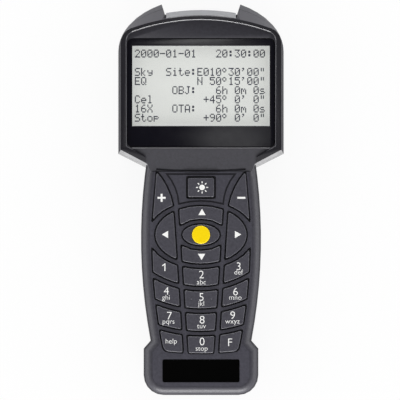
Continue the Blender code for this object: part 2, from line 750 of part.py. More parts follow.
def body():
    """The whole outer body: the head and the grip, joined, with the arch under the grip."""
    belly = head_outline(BELLY_HALF, HEAD_EDGE_LEAN, horn_top())
    rim = head_outline(RIM_HALF, 0.0, rim_top())
    share = (PARTING_Z - BELLY_Z) / (BODY_DEPTH - BELLY_Z)
    parting = [tuple(Vector(low).lerp(high, share)) for low, high in zip(belly, rim)]
    solid = loft("body", back_edge(belly) + [(belly, BELLY_Z), (parting, PARTING_Z), (rim, BODY_DEPTH)])
    grip = grip_outline(GRIP_TOP_Y)
    slope = [(y, neck_z(y) + RIM_HEIGHT) for y in (NECK_Y - NECK_OVERLAP, TIP_Y)]
    cut(solid, bar("rim_slope", slope + [(slope[0][0], slope[1][1])], HEAD_WIDTH))
    join(solid, loft("grip", back_edge(grip) + front_edge(grip)))
    cut(solid, arch(0.0))
    return solid


def neck_z(y):
    """Height of the neck's slope, which falls from the panel under the window to the keypad."""
    slope = (PANEL_Z - GRIP_Z) / (NECK_TOP_Y - NECK_Y)
    return GRIP_Z + (y - NECK_Y) * slope


def cavities():
    """The hollows of the head and of the grip."""
    low_y = RIM_CORNER_Y - WALL / 2
    top = domed_side(CAVITY_HALF, CAVITY_TOP_Y, RIM_TOP_RADIUS, RIM_CORNER_RADIUS)
    head_half = [(0.0, low_y), (CAVITY_HALF - 2 * WALL, low_y), (CAVITY_HALF, low_y + 2 * WALL)]
    head = prism("head_cavity", mirrored(head_half + top), WALL, HEAD_ROOF_Z)
    grip_room = inset(grip_outline(RIM_CORNER_Y + GRIP_WALL + WALL), GRIP_WALL)
    grip = prism("grip_cavity", grip_room, WALL + FIT_GAP, GRIP_ROOF_Z)
    cut(grip, arch(WALL))
    return head, grip


def panel_outline():
    """Outline of the sunk panel, which runs down the neck."""
    half = RIM_HALF - RIM_SIDE_WIDTH
    top = domed_side(half, RIM_TOP_Y - RIM_TOP_WIDTH, RIM_TOP_RADIUS - RIM_TOP_WIDTH, PANEL_CORNER_RADIUS)
    neck_half = grip_half(NECK_Y)
    corner = (half, head_edge_y(half) + RIM_LOW_WIDTH)
    turn_y = corner[1] - (half - neck_half) * PANEL_EDGE_SLOPE
    low_y = NECK_Y - NECK_OVERLAP
    return mirrored([(0.0, low_y), (neck_half, low_y), (neck_half, turn_y), corner] + top)


def view_outline(margin):
    return rectangle(VIEW_WIDTH + 2 * margin, VIEW_LOW_Y - margin, VIEW_TOP_Y + margin)


def window_outline(shrink):
    return inset(rectangle(WINDOW_WIDTH, WINDOW_LOW_Y, WINDOW_TOP_Y, WINDOW_CORNER_RADIUS), shrink)


def name_plate_outline():
    low_y = BASE_Y + NAME_PLATE_RISE
    return rectangle(NAME_PLATE_WIDTH, low_y, low_y + NAME_PLATE_HEIGHT, NAME_PLATE_CORNER_RADIUS)


def notch_half(y):
    """Half of the gap between the horns, which widens upwards."""
    return NOTCH_WIDTH / 2 + (y - RIM_TOP_Y) * NOTCH_SLANT


def crown(crest_y, half):
    """Right-to-left points of a domed line with its crest on the middle line."""
    spread = math.asin(half / RIM_TOP_RADIUS)
    right, left = math.pi / 2 - spread, math.pi / 2 + spread
    return arc(0, crest_y - RIM_TOP_RADIUS, RIM_TOP_RADIUS, right, left, 2 * CORNER_STEPS)


def notch_floor_half(crest_y):
    """Half width of the gap where its sides meet its floor."""
    dome_y = crest_y - RIM_TOP_RADIUS
    return meeting(notch_half, lambda x: dome_y + math.sqrt(RIM_TOP_RADIUS**2 - x * x))[0]


def notch_outline(crest_y):
    """The gap between the horns above a domed floor."""
    high_y = TIP_Y + HORN_RISE
    wide = notch_half(high_y)
    return crown(crest_y, notch_floor_half(crest_y))[::-1] + [(wide, high_y), (-wide, high_y)]


def lens_crest_y(z):
    """Height of the lens's crest, which leans from the parting line in to the rim."""
    share = (z - PARTING_Z) / (LENS_TOP_Z - PARTING_Z)
    return LENS_CREST_Y + (RIM_TOP_Y - LENS_CREST_Y) * share


def lens_notch():
    """Tool for the gap between the horns in the front cover, down to the seat of the lens."""
    low_z, high_z = PARTING_Z - CUT_MARGIN, LENS_TOP_Z + FIT_GAP
    fall = lens_crest_y(low_z) - lens_crest_y(high_z)
    outline = notch_outline(lens_crest_y(low_z) - LENS_THICKNESS - FIT_GAP)
    return loft("lens_notch", [(outline, low_z), ([(x, y - fall) for x, y in outline], high_z)])


def case_screw_places():
    return paired(TOP_CASE_SCREW, MID_CASE_SCREW, LOW_CASE_SCREW)


def lcd_screw_places():
    return paired(TOP_LCD_SCREW, LOW_LCD_SCREW)


def board_half(y):
    """Half width of the main board, which follows the grip's inner wall."""
    return grip_half(y) - GRIP_WALL - BOARD_MARGIN


def board_screw_places():
    low_x = board_half(WAIST_Y) - BOARD_BOSS_RADIUS - BOARD_MARGIN
    low_y = PAD_LOW_Y - BOARD_BOSS_RADIUS - 2 * KEY_FLANGE
    return paired(TOP_BOARD_SCREW, (low_x, low_y))


def posts(places, radius, low, high):
    """Round posts, or, as a tool, round holes."""
    return prisms("posts", [circle(place, radius) for place in places], low, high)


def bosses(places, radius, low, high, pilot, tip):
    """Round posts with a blind screw hole in their lower ends."""
    made = posts(places, radius, low, high)
    cut(made, posts(places, pilot, low - CUT_MARGIN, tip))
    return made


def socket_cutout():
    """Tool for the socket's opening in the base end."""
    half = SOCKET_WIDTH / 2 + FIT_GAP
    low = (-half, BASE_Y - CUT_MARGIN, SOCKET_TOP - SOCKET_HEIGHT - FIT_GAP)
    high = (half, BASE_Y + SOCKET_SUNK + SOCKET_LENGTH + FIT_GAP, SOCKET_TOP + FIT_GAP)
    return block("socket_cutout", low, high)


def ring_tool(outline, width, low, high):
    """Tool for a groove of some width along a closed outline."""
    tool = prism("groove", inset(outline, -width / 2), low, high)
    cut(tool, prism("island", inset(outline, width / 2), low - CUT_MARGIN, high + CUT_MARGIN))
    return tool


def neck_groove():
    """Tool for the groove where the neck meets the keypad."""
    shares = [step / CORNER_STEPS for step in range(-CORNER_STEPS, CORNER_STEPS + 1)]
    line = [(pad_edge_x(NECK_Y) * share, neck_line_y(NECK_HALF * share)) for share in shares]
    low = [(x, y - NECK_GROOVE_WIDTH / 2) for x, y in line]
    high = [(x, y + NECK_GROOVE_WIDTH / 2) for x, y in line]
    return prism("neck_groove", low + high[::-1], GRIP_Z - NECK_GROOVE_DEPTH, BODY_DEPTH)


def covers(paint, keys):
    """The two shells, split at the parting line, with every opening and boss."""
    front = body()
    for hollow in cavities():
        cut(front, hollow)
    rear = front.copy()
    rear.data = front.data.copy()
    bpy.context.scene.collection.objects.link(rear)
    front.name, rear.name = "front_cover", "rear_cover"
    reach = BODY_LENGTH
    cut(front, block("below", (-reach, -reach, -reach), (reach, reach, PARTING_Z + FIT_GAP / 2)))
    cut(rear, block("above", (-reach, -reach, PARTING_Z - FIT_GAP / 2), (reach, reach, reach)))
    front_details(front, keys)
    rear_details(rear)
    for cover in (front, rear):
        cover.data.materials.clear()
        cover.data.materials.append(paint)


def front_details(front, keys):
    panel = prism("panel", panel_outline(), GRIP_Z - RIM_HEIGHT, BODY_DEPTH + CUT_MARGIN)
    slope = [(NECK_FOOT_Y, neck_z(NECK_FOOT_Y)), (NECK_TOP_Y, PANEL_Z), (TIP_Y, PANEL_Z)]
    above = [(TIP_Y, 2 * BODY_DEPTH), (NECK_FOOT_Y, 2 * BODY_DEPTH)]
    combine(panel, bar("slope", slope + above, HEAD_WIDTH), "INTERSECT")
    cut(front, panel)
    cut(front, prism("window_seat", window_outline(-FIT_GAP), LEDGE_Z, BODY_DEPTH))
    cut(front, prism("view", view_outline(VIEW_MARGIN), HEAD_ROOF_Z - CUT_MARGIN, BODY_DEPTH))
    cut(front, lens_notch())
    cut(front, neck_groove())
    cut(front, ring_tool(light_panel(), PANEL_GROOVE_WIDTH, GRIP_Z - PANEL_GROOVE_DEPTH, BODY_DEPTH))
    plate_low = GRIP_Z - NAME_PLATE_SUNK - NAME_PLATE_THICKNESS - FIT_GAP
    cut(front, prism("plate_seat", inset(name_plate_outline(), -FIT_GAP), plate_low, BODY_DEPTH))
    openings = [key_shape(outline, -key_gap(name) / 2) for name, outline in keys.items()]
    cut(front, prisms("key_openings", openings, GRIP_ROOF_Z - CUT_MARGIN, BODY_DEPTH))
    pilot, tip = CASE_SCREW_RADIUS + PILOT_CLEARANCE, case_screw_tip() + PILOT_SPARE
    places, low = case_screw_places(), PARTING_Z + FIT_GAP
    join(front, posts(places[:4], CASE_BOSS_RADIUS, low, HEAD_ROOF_Z + FIT_GAP))
    join(front, posts(places[4:], CASE_BOSS_RADIUS, low, GRIP_ROOF_Z + FIT_GAP))
    cut(front, posts(places, pilot, PARTING_Z - CUT_MARGIN, tip))
    pilot, bite = BOARD_SCREW_RADIUS + PILOT_CLEARANCE, BOARD_SCREW_BITE + PILOT_SPARE
    places, low, tip = lcd_screw_places(), LCD_BOARD_TOP + FIT_GAP, LCD_BOARD_TOP + bite
    join(front, bosses(places, BOARD_BOSS_RADIUS, low, HEAD_ROOF_Z + FIT_GAP, pilot, tip))
    places, low, tip = board_screw_places(), BOARD_TOP + FIT_GAP, BOARD_TOP + bite
    join(front, bosses(places, BOARD_BOSS_RADIUS, low, GRIP_ROOF_Z + FIT_GAP, pilot, tip))
    reach = LED_FLANGE_RADIUS + FIT_GAP
    low = (-LED_ROOM_HALF, LED_BASE_Y - CUT_MARGIN, LED_Z - reach)
    cut(front, block("led_slot", low, (LED_ROOM_HALF, LENS_CREST_Y, LED_Z + reach)))
    cut(front, socket_cutout())


def case_screw_tip():
    return PARTING_Z + CASE_SCREW_BITE


def rear_details(rear):
    crest_y = LENS_CREST_Y - LENS_STEP
    cut(rear, prism("rear_notch", notch_outline(crest_y), -CUT_MARGIN, PARTING_Z + CUT_MARGIN))
    places = case_screw_places()
    join(rear, posts(places, CASE_BOSS_RADIUS, WALL / 2, PARTING_Z - FIT_GAP))
    cut(rear, posts(places, CASE_SCREW_RADIUS + SCREW_CLEARANCE, -CUT_MARGIN, PARTING_Z + CUT_MARGIN))
    sink = CASE_SCREW_SINK + CASE_SCREW_HEAD_HEIGHT + FIT_GAP
    cut(rear, posts(places, CASE_SCREW_HEAD_RADIUS + SCREW_CLEARANCE, -CUT_MARGIN, sink))
    cut(rear, socket_cutout())


# Keys and mat
def key_gap(name):
    return LIGHT_KEY_GAP if name == "key_light" else KEY_GAP


def key(name, outline, paint):
    """A key cap with the flange that keeps it in; its origin is on its own line of travel."""
    centre_x, centre_y = middle_of(outline)
    local = [(x - centre_x, y - centre_y) for x, y in outline]
    edge = key_gap(name) / 2
    cap, flange = key_shape(local, edge), key_shape(local, -KEY_FLANGE)
    top = GRIP_Z + KEY_PROUD - FLANGE_LOW
    levels = [
        (flange, 0.0),
        (flange, KEY_FLANGE_THICKNESS),
        (cap, KEY_FLANGE_THICKNESS),
        (cap, top - KEY_CHAMFER),
        (key_shape(local, edge + KEY_CHAMFER), top),
    ]
    piece = loft(name, levels, paint)
    piece.location = (centre_x, centre_y, FLANGE_LOW)
    return piece


def enter_cap(enter_key, paint):
    """The yellow disc, sunk into the top of the enter key."""
    top = GRIP_Z + KEY_PROUD
    low = top + ENTER_CAP_PROUD - ENTER_CAP_THICKNESS
    rim = [(0.0, 0.0), (ENTER_CAP_RADIUS, 0.0), (ENTER_CAP_RADIUS, ENTER_CAP_THICKNESS - KEY_CHAMFER)]
    rim += [(ENTER_CAP_RADIUS - KEY_CHAMFER, ENTER_CAP_THICKNESS), (0.0, ENTER_CAP_THICKNESS)]
    turned("enter_key_cap", rim, (0.0, PAD_Y, low), paint, OVAL_STEPS)
    seat_radius = (ENTER_CAP_RADIUS + ENTER_CAP_GAP) / math.cos(math.pi / OVAL_STEPS)
    seat = circle((0.0, PAD_Y), seat_radius, OVAL_STEPS)
    cut(enter_key, prism("cap_seat", seat, low - FIT_GAP, top + CUT_MARGIN))


def keypad_mat(keys, paint):
    """Silicone sheet with a hollow dome under each key."""
    margin = KEY_FLANGE + MAT_MARGIN
    low_y, high_y = PAD_LOW_Y - margin, NECK_Y - SPEED_KEY_TIP_DROP + margin
    heights = [low_y + (high_y - low_y) * step / GRIP_STEPS for step in range(GRIP_STEPS + 1)]
    side = [(pad_edge_x(y) + margin, y) for y in heights]
    mat = prism("keypad_mat", mirrored([(0.0, low_y)] + side + [(0.0, high_y)]), MAT_LOW, MAT_TOP, paint)
    outer = [(DOME_BASE_RADIUS, MAT_TOP - MAT_THICKNESS / 2), (DOME_TOP_RADIUS, DOME_TOP)]
    inner = [(DOME_BASE_RADIUS - DOME_WALL, MAT_LOW - CUT_MARGIN)]
    inner += [(DOME_BASE_RADIUS - DOME_WALL, MAT_LOW + MAT_THICKNESS / 2)]
    inner += [(DOME_TOP_RADIUS - DOME_WALL, DOME_TOP - 2 * DOME_WALL)]
    for profile, change in ((outer, join), (inner, cut)):
        for outline in keys.values():
            centre = middle_of(outline)
            change(mat, loft("dome", [(circle(centre, radius), z) for radius, z in profile]))


# Display and lamp
def display(gloss, tape, metal, glass, white, green):
    prism("display_window", window_outline(0.0), WINDOW_LOW, WINDOW_LOW + WINDOW_THICKNESS, gloss)
    frame = prism("window_tape", window_outline(TAPE_SETBACK), TAPE_LOW, TAPE_LOW + TAPE_THICKNESS, tape)
    hole = view_outline(VIEW_MARGIN + TAPE_SETBACK)
    cut(frame, prism("hole", hole, TAPE_LOW - CUT_MARGIN, WINDOW_LOW))
    tray_low = LCD_BOARD_TOP + FIT_GAP
    tray = block("lcd_frame", (-LCD_HALF, LCD_LOW_Y, tray_low), (LCD_HALF, LCD_TOP_Y, LCD_FRAME_TOP), metal)
    sheet = LCD_FRAME_SHEET
    low = (-LCD_HALF + sheet, LCD_LOW_Y + sheet, tray_low - CUT_MARGIN)
    cut(tray, block("hollow", low, (LCD_HALF - sheet, LCD_TOP_Y - sheet, LCD_FRAME_TOP - sheet)))
    cut(tray, prism("opening", view_outline(0.0), tray_low, LCD_FRAME_TOP + CUT_MARGIN))
    half, edge = LCD_HALF - sheet - FIT_GAP, sheet + FIT_GAP
    stack = [
        ("lcd_glass", LCD_GLASS_TOP, LCD_GLASS_THICKNESS, glass),
        ("backlight_panel", BACKLIGHT_TOP, BACKLIGHT_THICKNESS, white),
    ]
    for name, top, thickness, paint in stack:
        block(name, (-half, LCD_LOW_Y + edge, top - thickness), (half, LCD_TOP_Y - edge, top), paint)
    lcd_board(green)


def lcd_board(paint):
    """Display board, with a tab for the lamp at the top and a foot between the case bosses."""
    foot_y, tab_y = LCD_LOW_Y - LCD_BOARD_FOOT_LENGTH, LCD_TOP_Y + LCD_BOARD_TAB_LENGTH
    half, foot, tab = LCD_HALF, LCD_BOARD_FOOT_HALF, LCD_BOARD_TAB_WIDTH / 2
    right = [(0.0, foot_y), (foot, foot_y), (foot, LCD_LOW_Y), (half, LCD_LOW_Y)]
    right += [(half, LCD_TOP_Y), (tab, LCD_TOP_Y), (tab, tab_y), (0.0, tab_y)]
    low = LCD_BOARD_TOP - BOARD_THICKNESS
    board = prism("lcd_board", mirrored(right), low, LCD_BOARD_TOP, paint)
    hole = BOARD_SCREW_RADIUS + SCREW_CLEARANCE
    cut(board, posts(lcd_screw_places(), hole, low - CUT_MARGIN, LCD_BOARD_TOP + CUT_MARGIN))


def lamp(lens_paint, led_paint):
    """Frosted lens between the horns and the two LEDs behind it."""
    half = notch_floor_half(LENS_CREST_Y - LENS_THICKNESS - FIT_GAP) - FIT_GAP
    levels = []
    for z in (PARTING_Z + FIT_GAP, LENS_TOP_Z):
        outer = crown(lens_crest_y(z), half)
        levels.append((outer + [(x, y - LENS_THICKNESS) for x, y in outer[::-1]], z))
    loft("lamp_lens", levels, lens_paint)
    straight = LED_LENGTH - LED_RADIUS
    nose = arc(0, straight, LED_RADIUS, 0, math.pi / 2, EDGE_STEPS)
    nose[-1] = (0.0, LED_LENGTH)
    profile = [(0.0, 0.0), (LED_FLANGE_RADIUS, 0.0), (LED_FLANGE_RADIUS, LED_FLANGE_THICKNESS)]
    profile += [(LED_RADIUS, LED_FLANGE_THICKNESS)] + nose
    for name, side in (("lamp_led_left", -1), ("lamp_led_right", 1)):
        turned(name, profile, (side * LED_SPACING / 2, LED_BASE_Y, LED_Z), led_paint, along_y=True)


# Main board
def main_board(paint):
    """Board under the mat, with a narrow tail that carries the socket."""
    tail_y = BASE_Y + SOCKET_SUNK + GRIP_WALL
    wide_y = tail_y + BOARD_TAIL_LENGTH
    top_y = GRIP_TOP_Y + BOARD_BOSS_RADIUS + BOARD_MARGIN
    heights = [WAIST_Y + (GRIP_TOP_Y - WAIST_Y) * step / GRIP_STEPS for step in range(GRIP_STEPS + 1)]
    side = [(board_half(y), y) for y in heights]
    tail, waist = BOARD_TAIL_WIDTH / 2, board_half(WAIST_Y)
    right = [(0.0, tail_y), (tail, tail_y), (tail, wide_y), (waist, wide_y)] + side
    right += [(side[-1][0], top_y), (0.0, top_y)]
    board = prism("main_board", mirrored(right), BOARD_LOW, BOARD_TOP, paint)
    hole = BOARD_SCREW_RADIUS + SCREW_CLEARANCE
    cut(board, posts(board_screw_places(), hole, BOARD_LOW - CUT_MARGIN, BOARD_TOP + CUT_MARGIN))
    return top_y


def under_board(name, centre, width, length, thickness, paint):
    """A chip or a part soldered under the main board."""
    high = BOARD_LOW - FIT_GAP
    low = (centre[0] - width / 2, centre[1] - length / 2, high - thickness)
    return block(name, low, (centre[0] + width / 2, centre[1] + length / 2, high), paint)


def board_parts(black, metal):
    chips_y = PAD_Y + CHIP_SPACING / 2
    under_board("processor", (0.0, chips_y), PROCESSOR_SIZE, PROCESSOR_SIZE, PROCESSOR_THICKNESS, black)
    memory_place = (0.0, chips_y - CHIP_SPACING)
    under_board("memory_chip", memory_place, MEMORY_LENGTH, MEMORY_WIDTH, MEMORY_THICKNESS, black)
    under_board("crystal", (CHIP_SPACING, chips_y), CRYSTAL_WIDTH, CRYSTAL_LENGTH, CRYSTAL_HEIGHT, metal)
    socket_back_y = BASE_Y + SOCKET_SUNK + SOCKET_LENGTH
    place = (0.0, (memory_place[1] - MEMORY_WIDTH / 2 + socket_back_y) / 2)
    high = BOARD_LOW - FIT_GAP
    cell_high = high - CELL_HOLDER_FLOOR - FIT_GAP
    cup_radius = CELL_RADIUS + FIT_GAP
    around = 1 / math.cos(math.pi / ROUND_SIDES)
    cell_low = cell_high - CELL_THICKNESS
    rim = circle(place, (cup_radius + CELL_HOLDER_WALL) * around)
    cup = prism("cell_holder", rim, cell_low, high, black)
    cut(cup, posts([place], cup_radius * around, cell_low - CUT_MARGIN, high - CELL_HOLDER_FLOOR))
    profile = [(0.0, -CELL_THICKNESS), (CELL_RADIUS, -CELL_THICKNESS), (CELL_RADIUS, 0.0), (0.0, 0.0)]
    turned("coin_cell", profile, (*place, cell_high), metal)


def display_ribbon(board_top_y, paint):
    """Flat cable under both boards, from the display board's foot to the main board's top edge."""
    lcd_low = LCD_BOARD_TOP - BOARD_THICKNESS - FIT_GAP
    main_low = BOARD_LOW - FIT_GAP
    foot_y = LCD_LOW_Y - LCD_BOARD_FOOT_LENGTH
    path = [
        (board_top_y - RIBBON_OVERLAP, main_low),
        (board_top_y + FIT_GAP, main_low),
        (foot_y - FIT_GAP, lcd_low),
        (foot_y + RIBBON_OVERLAP, lcd_low),
    ]
    underside = [(y, z - RIBBON_THICKNESS) for y, z in path]
    bar("display_ribbon", underside + path[::-1], RIBBON_WIDTH / 2, paint)


# Socket
def cable_socket(black, gold):
    front_y = BASE_Y + SOCKET_SUNK
    back_y = front_y + SOCKET_LENGTH
    low_z = SOCKET_TOP - SOCKET_HEIGHT
    half, plug_half = SOCKET_WIDTH / 2, PLUG_WIDTH / 2
    housing = block("cable_socket", (-half, front_y, low_z), (half, back_y, SOCKET_TOP), black)
    plug_low = low_z + (SOCKET_HEIGHT - PLUG_HEIGHT + LATCH_HEIGHT) / 2
    plug_high = plug_low + PLUG_HEIGHT
    plug_back = back_y - SOCKET_BACK_WALL
    plug_front = (-plug_half, front_y - CUT_MARGIN, plug_low)
    cut(housing, block("plug", plug_front, (plug_half, plug_back, plug_high)))
    latch_half = LATCH_WIDTH / 2
    latch_low = (-latch_half, front_y - CUT_MARGIN, plug_low - LATCH_HEIGHT)
    cut(housing, block("latch", latch_low, (latch_half, plug_back - CONTACT_BLOCK, plug_low + CUT_MARGIN)))
    block_front = plug_back - FIT_GAP - CONTACT_BLOCK
    low = (-plug_half + FIT_GAP, block_front, plug_low + FIT_GAP)
    high = (plug_half - FIT_GAP, plug_back - FIT_GAP, plug_high - FIT_GAP)
    contacts = block("socket_contacts", low, high, gold)
    root_z = plug_high - FIT_GAP - CONTACT_WIRE
    tip_y, tip_z = block_front - CONTACT_REACH, root_z - CONTACT_DROP
    path = [(tip_y, tip_z), (block_front + CONTACT_WIRE, root_z)]
    profile = [(y, z - CONTACT_WIRE) for y, z in path] + path[::-1]
    for index in range(CONTACT_COUNT):
        wire = bar("wire", profile, CONTACT_WIRE / 2)
        across = (index - (CONTACT_COUNT - 1) / 2) * CONTACT_PITCH
        wire.data.transform(Matrix.Translation((across, 0, 0)))
        join(contacts, wire)


# Screws
def screw_profile(radius, head_radius, head_height, length):
    """A pan-head screw that points up, with its head's top face at height 0."""
    edge = head_height / 3
    profile = [(0.0, 0.0), (head_radius - edge, 0.0), (head_radius, edge), (head_radius, head_height)]
    return profile + [(radius, head_height), (radius, length - radius), (0.0, length)]


def screws(metal):
    case_head = CASE_SCREW_SINK
    length = case_screw_tip() - case_head
    profile = screw_profile(CASE_SCREW_RADIUS, CASE_SCREW_HEAD_RADIUS, CASE_SCREW_HEAD_HEIGHT, length)
    for number, place in enumerate(case_screw_places(), 1):
        turned(f"case_screw_{number}", profile, (*place, case_head), metal)
    sets = [("lcd_screw", lcd_screw_places(), LCD_BOARD_TOP)]
    sets += [("board_screw", board_screw_places(), BOARD_TOP)]
    head, head_radius = BOARD_SCREW_HEAD_HEIGHT, BOARD_SCREW_HEAD_RADIUS
    length = head + FIT_GAP + BOARD_THICKNESS + BOARD_SCREW_BITE
    profile = screw_profile(BOARD_SCREW_RADIUS, head_radius, head, length)
    for name, places, top in sets:
        for number, place in enumerate(places, 1):
            turned(f"{name}_{number}", profile, (*place, top - BOARD_THICKNESS - FIT_GAP - head), metal)


def main():
    for old in list(bpy.data.objects):
        bpy.data.objects.remove(old)
    abs_grey = plain_material("abs_dark_grey", DARK_GREY, 0.45)
    key_grey = plain_material("key_grey", KEY_GREY, 0.5)
    black = plain_material("black_nylon", BLACK, 0.5)
    gloss = plain_material("gloss_black_acrylic", BLACK, 0.05)
    metal = plain_material("zinc_steel", STEEL, 0.35, 1.0)
    green = plain_material("board_laminate", BOARD_GREEN, 0.4)
    white = plain_material("white_diffuser", (0.8, 0.8, 0.8), 0.5)
    glass = plain_material("display_glass", DISPLAY_WHITE, 0.2)
    keys = key_outlines()
    covers(abs_grey, keys)
    pieces = {name: key(name, outline, key_grey) for name, outline in keys.items()}
    bpy.context.view_layer.update()
    enter_cap(pieces["key_enter"], plain_material("yellow_enamel", YELLOW, 0.35))
    keypad_mat(keys, plain_material("silicone", SILICONE_GREY, 0.6))
    display(gloss, black, metal, glass, white, green)
    lamp(plain_material("frosted_lens", FROSTED_GREY, 0.35), plain_material("red_led", LED_RED, 0.1))
    board_top_y = main_board(green)
    board_parts(black, metal)
    display_ribbon(board_top_y, plain_material("ribbon_film", RIBBON_AMBER, 0.3))
    cable_socket(black, plain_material("gold_plate", GOLD, 0.3, 1.0))
    plate_low = GRIP_Z - NAME_PLATE_SUNK - NAME_PLATE_THICKNESS
    prism("name_plate", name_plate_outline(), plate_low, plate_low + NAME_PLATE_THICKNESS, gloss)
    screws(metal)
    handset = bpy.data.objects.new("handset", None)
    bpy.context.scene.collection.objects.link(handset)
    for piece in bpy.data.objects:
        if piece is not handset:
            piece.parent = handset


main()
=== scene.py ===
# %% [markdown]
# A telescope hand controller
#
# The handset's solids were made in CAD and packed as a fixed frame, in metres. This lesson loads them,
# sets up the photograph's view and light, and then gives each piece the finish that it has in the hand.
# The CAD solids themselves stay as they are: where a surface needs softer edges, a dressed copy stands in
# for the solid.

# %% Load the solids
import json
import math

import bmesh
import bpy
from mathutils import Matrix, Vector


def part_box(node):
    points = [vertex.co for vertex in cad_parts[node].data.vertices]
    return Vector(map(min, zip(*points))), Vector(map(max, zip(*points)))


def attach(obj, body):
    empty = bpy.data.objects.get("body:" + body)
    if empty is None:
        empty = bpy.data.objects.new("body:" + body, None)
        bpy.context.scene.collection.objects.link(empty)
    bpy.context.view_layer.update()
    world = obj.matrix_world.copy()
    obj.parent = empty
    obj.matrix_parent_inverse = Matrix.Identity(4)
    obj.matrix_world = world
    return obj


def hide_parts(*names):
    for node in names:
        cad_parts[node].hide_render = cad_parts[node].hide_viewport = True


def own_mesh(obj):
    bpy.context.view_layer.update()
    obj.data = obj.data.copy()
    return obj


MM = 0.001
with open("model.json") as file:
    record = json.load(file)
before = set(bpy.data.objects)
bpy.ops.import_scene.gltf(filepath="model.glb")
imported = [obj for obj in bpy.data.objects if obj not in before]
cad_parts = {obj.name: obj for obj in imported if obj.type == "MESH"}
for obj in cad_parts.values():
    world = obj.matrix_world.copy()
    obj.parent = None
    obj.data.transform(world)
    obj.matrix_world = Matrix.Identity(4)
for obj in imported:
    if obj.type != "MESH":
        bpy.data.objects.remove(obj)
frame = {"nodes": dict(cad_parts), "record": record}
solids = frame["nodes"]
slot_of = {part["node"]: part["material_slot"] for part in frame["record"]["subparts"]}
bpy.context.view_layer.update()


def in_mm(lengths):
    """Lengths in millimetres, rounded for a print."""
    return [round(length / MM, 1) for length in lengths]


# %% [markdown]
# The camera
#
# The photograph looks straight down on the face, with no sign of perspective, so it was taken with a long
# lens from far away. An orthographic camera would come close, but the same long lens keeps the outlines
# just as parallel as they are in the photograph. One picture element covers 0.486 mm of the face, which
# sets how far away the camera stands.

# %% Camera
PIXEL = 0.486 * MM  # one picture element of the photograph, on the face
PICTURE = 400  # picture elements along each side
MIDDLE = Vector((201.0, 199.5))  # the picture element on which the handset's own middle falls
FACE_Z = 29.5 * MM  # height of the face, where that scale holds
LENS, SENSOR = 1000.0, 36.0  # mm
FARTHEST = 50.0  # metres; nothing beyond this is drawn


def at_pixel(across, down):
    """The place on the face, in metres, of a picture element of the photograph."""
    return Vector(((across - MIDDLE.x) * PIXEL, (MIDDLE.y - down) * PIXEL))


def set_down(name, data):
    """Makes an object of some data and links it into the scene."""
    thing = bpy.data.objects.new(name, data)
    bpy.context.collection.objects.link(thing)
    return thing


lens = bpy.data.cameras.new("long_lens")
lens.lens, lens.sensor_width, lens.clip_end = LENS, SENSOR, FARTHEST
camera = set_down("camera", lens)
aim = at_pixel(PICTURE / 2, PICTURE / 2)
camera.location = (aim.x, aim.y, FACE_Z + PICTURE * PIXEL * LENS / SENSOR)
bpy.context.scene.camera = camera
print("camera", round(camera.location.z, 2), "m above the table, aimed at", in_mm(aim), "mm")

# %% [markdown]
# Nodes and colours
#
# Every shader below is a small graph. One function adds a node, sets its values and makes its links, so
# that a material reads as a list of what feeds what. Colours are written as the eye sees them and turned
# into light.

# %% Helpers for shaders
def linear(code, gain=1.0):
    """A colour written as the eye's hex code, as the linear light that a shader takes."""
    eye = [int(code[start:start + 2], 16) / 255 for start in (1, 3, 5)]
    light = [part / 12.92 if part <= 0.04045 else ((part + 0.055) / 1.055) ** 2.4 for part in eye]
    return (*[min(1.0, part * gain) for part in light], 1.0)


def add(tree, kind, inputs=None, **settings):
    """Adds a node. An input that is another node's socket is linked, anything else is set as its value."""
    node = tree.nodes.new(kind)
    for name, value in settings.items():
        setattr(node, name, value)
    for name, value in (inputs or {}).items():
        if isinstance(value, bpy.types.NodeSocket):
            tree.links.new(value, node.inputs[name])
        else:
            node.inputs[name].default_value = value
    return node


WHITE = linear("#ffffff")
print("mid grey #808080 as light:", round(linear("#808080")[0], 3))

# %% [markdown]
# The light tent
#
# The photograph has the look of a light tent: white walls all round, brighter at the two ends of the
# handset, and a dark opening overhead where the camera looks in. Flat faces mirror that opening and stay
# dark, while every rounded edge mirrors a wall and shines. Walls could be built as objects, but a world
# whose colour is a function of direction does the same and takes no room.

# %% Light tent
WALL, OPENING = 0.86, 0.08  # brightness of the walls and of the opening overhead
END_GAIN = 0.45  # how much brighter the two end walls are
EDGE_LOW, EDGE_HIGH = 0.62, 0.93  # sines of the heights between which wall fades into opening

world = bpy.data.worlds.new("light_tent")
bpy.context.scene.world = world
world.use_nodes = True
sky = world.node_tree
sky.nodes.clear()
way = add(sky, "ShaderNodeSeparateXYZ", {"Vector": add(sky, "ShaderNodeTexCoord").outputs["Generated"]})
wall = add(sky, "ShaderNodeMapRange", {
    "Value": way.outputs["Z"], "From Min": EDGE_LOW, "From Max": EDGE_HIGH,
    "To Min": WALL, "To Max": OPENING}, interpolation_type="SMOOTHSTEP")
ends = add(sky, "ShaderNodeMath", {0: way.outputs["Y"]}, operation="ABSOLUTE")
level = add(sky, "ShaderNodeMath", {0: ends.outputs[0], 1: END_GAIN, 2: wall.outputs["Result"]},
            operation="MULTIPLY_ADD")
tent = add(sky, "ShaderNodeBackground", {"Color": WHITE, "Strength": level.outputs[0]})
add(sky, "ShaderNodeOutputWorld", {"Surface": tent.outputs["Background"]})
print("tent: side walls", WALL, "end walls", round(WALL + END_GAIN, 2), "opening", OPENING)

# %% [markdown]
# Four long softboxes stand low round the handset. The one at its foot is the brightest and the two beside
# it are the weakest. They add little to the flat faces, and put the bright lines on the edges, above all
# on those that look towards the top or the bottom of the picture.

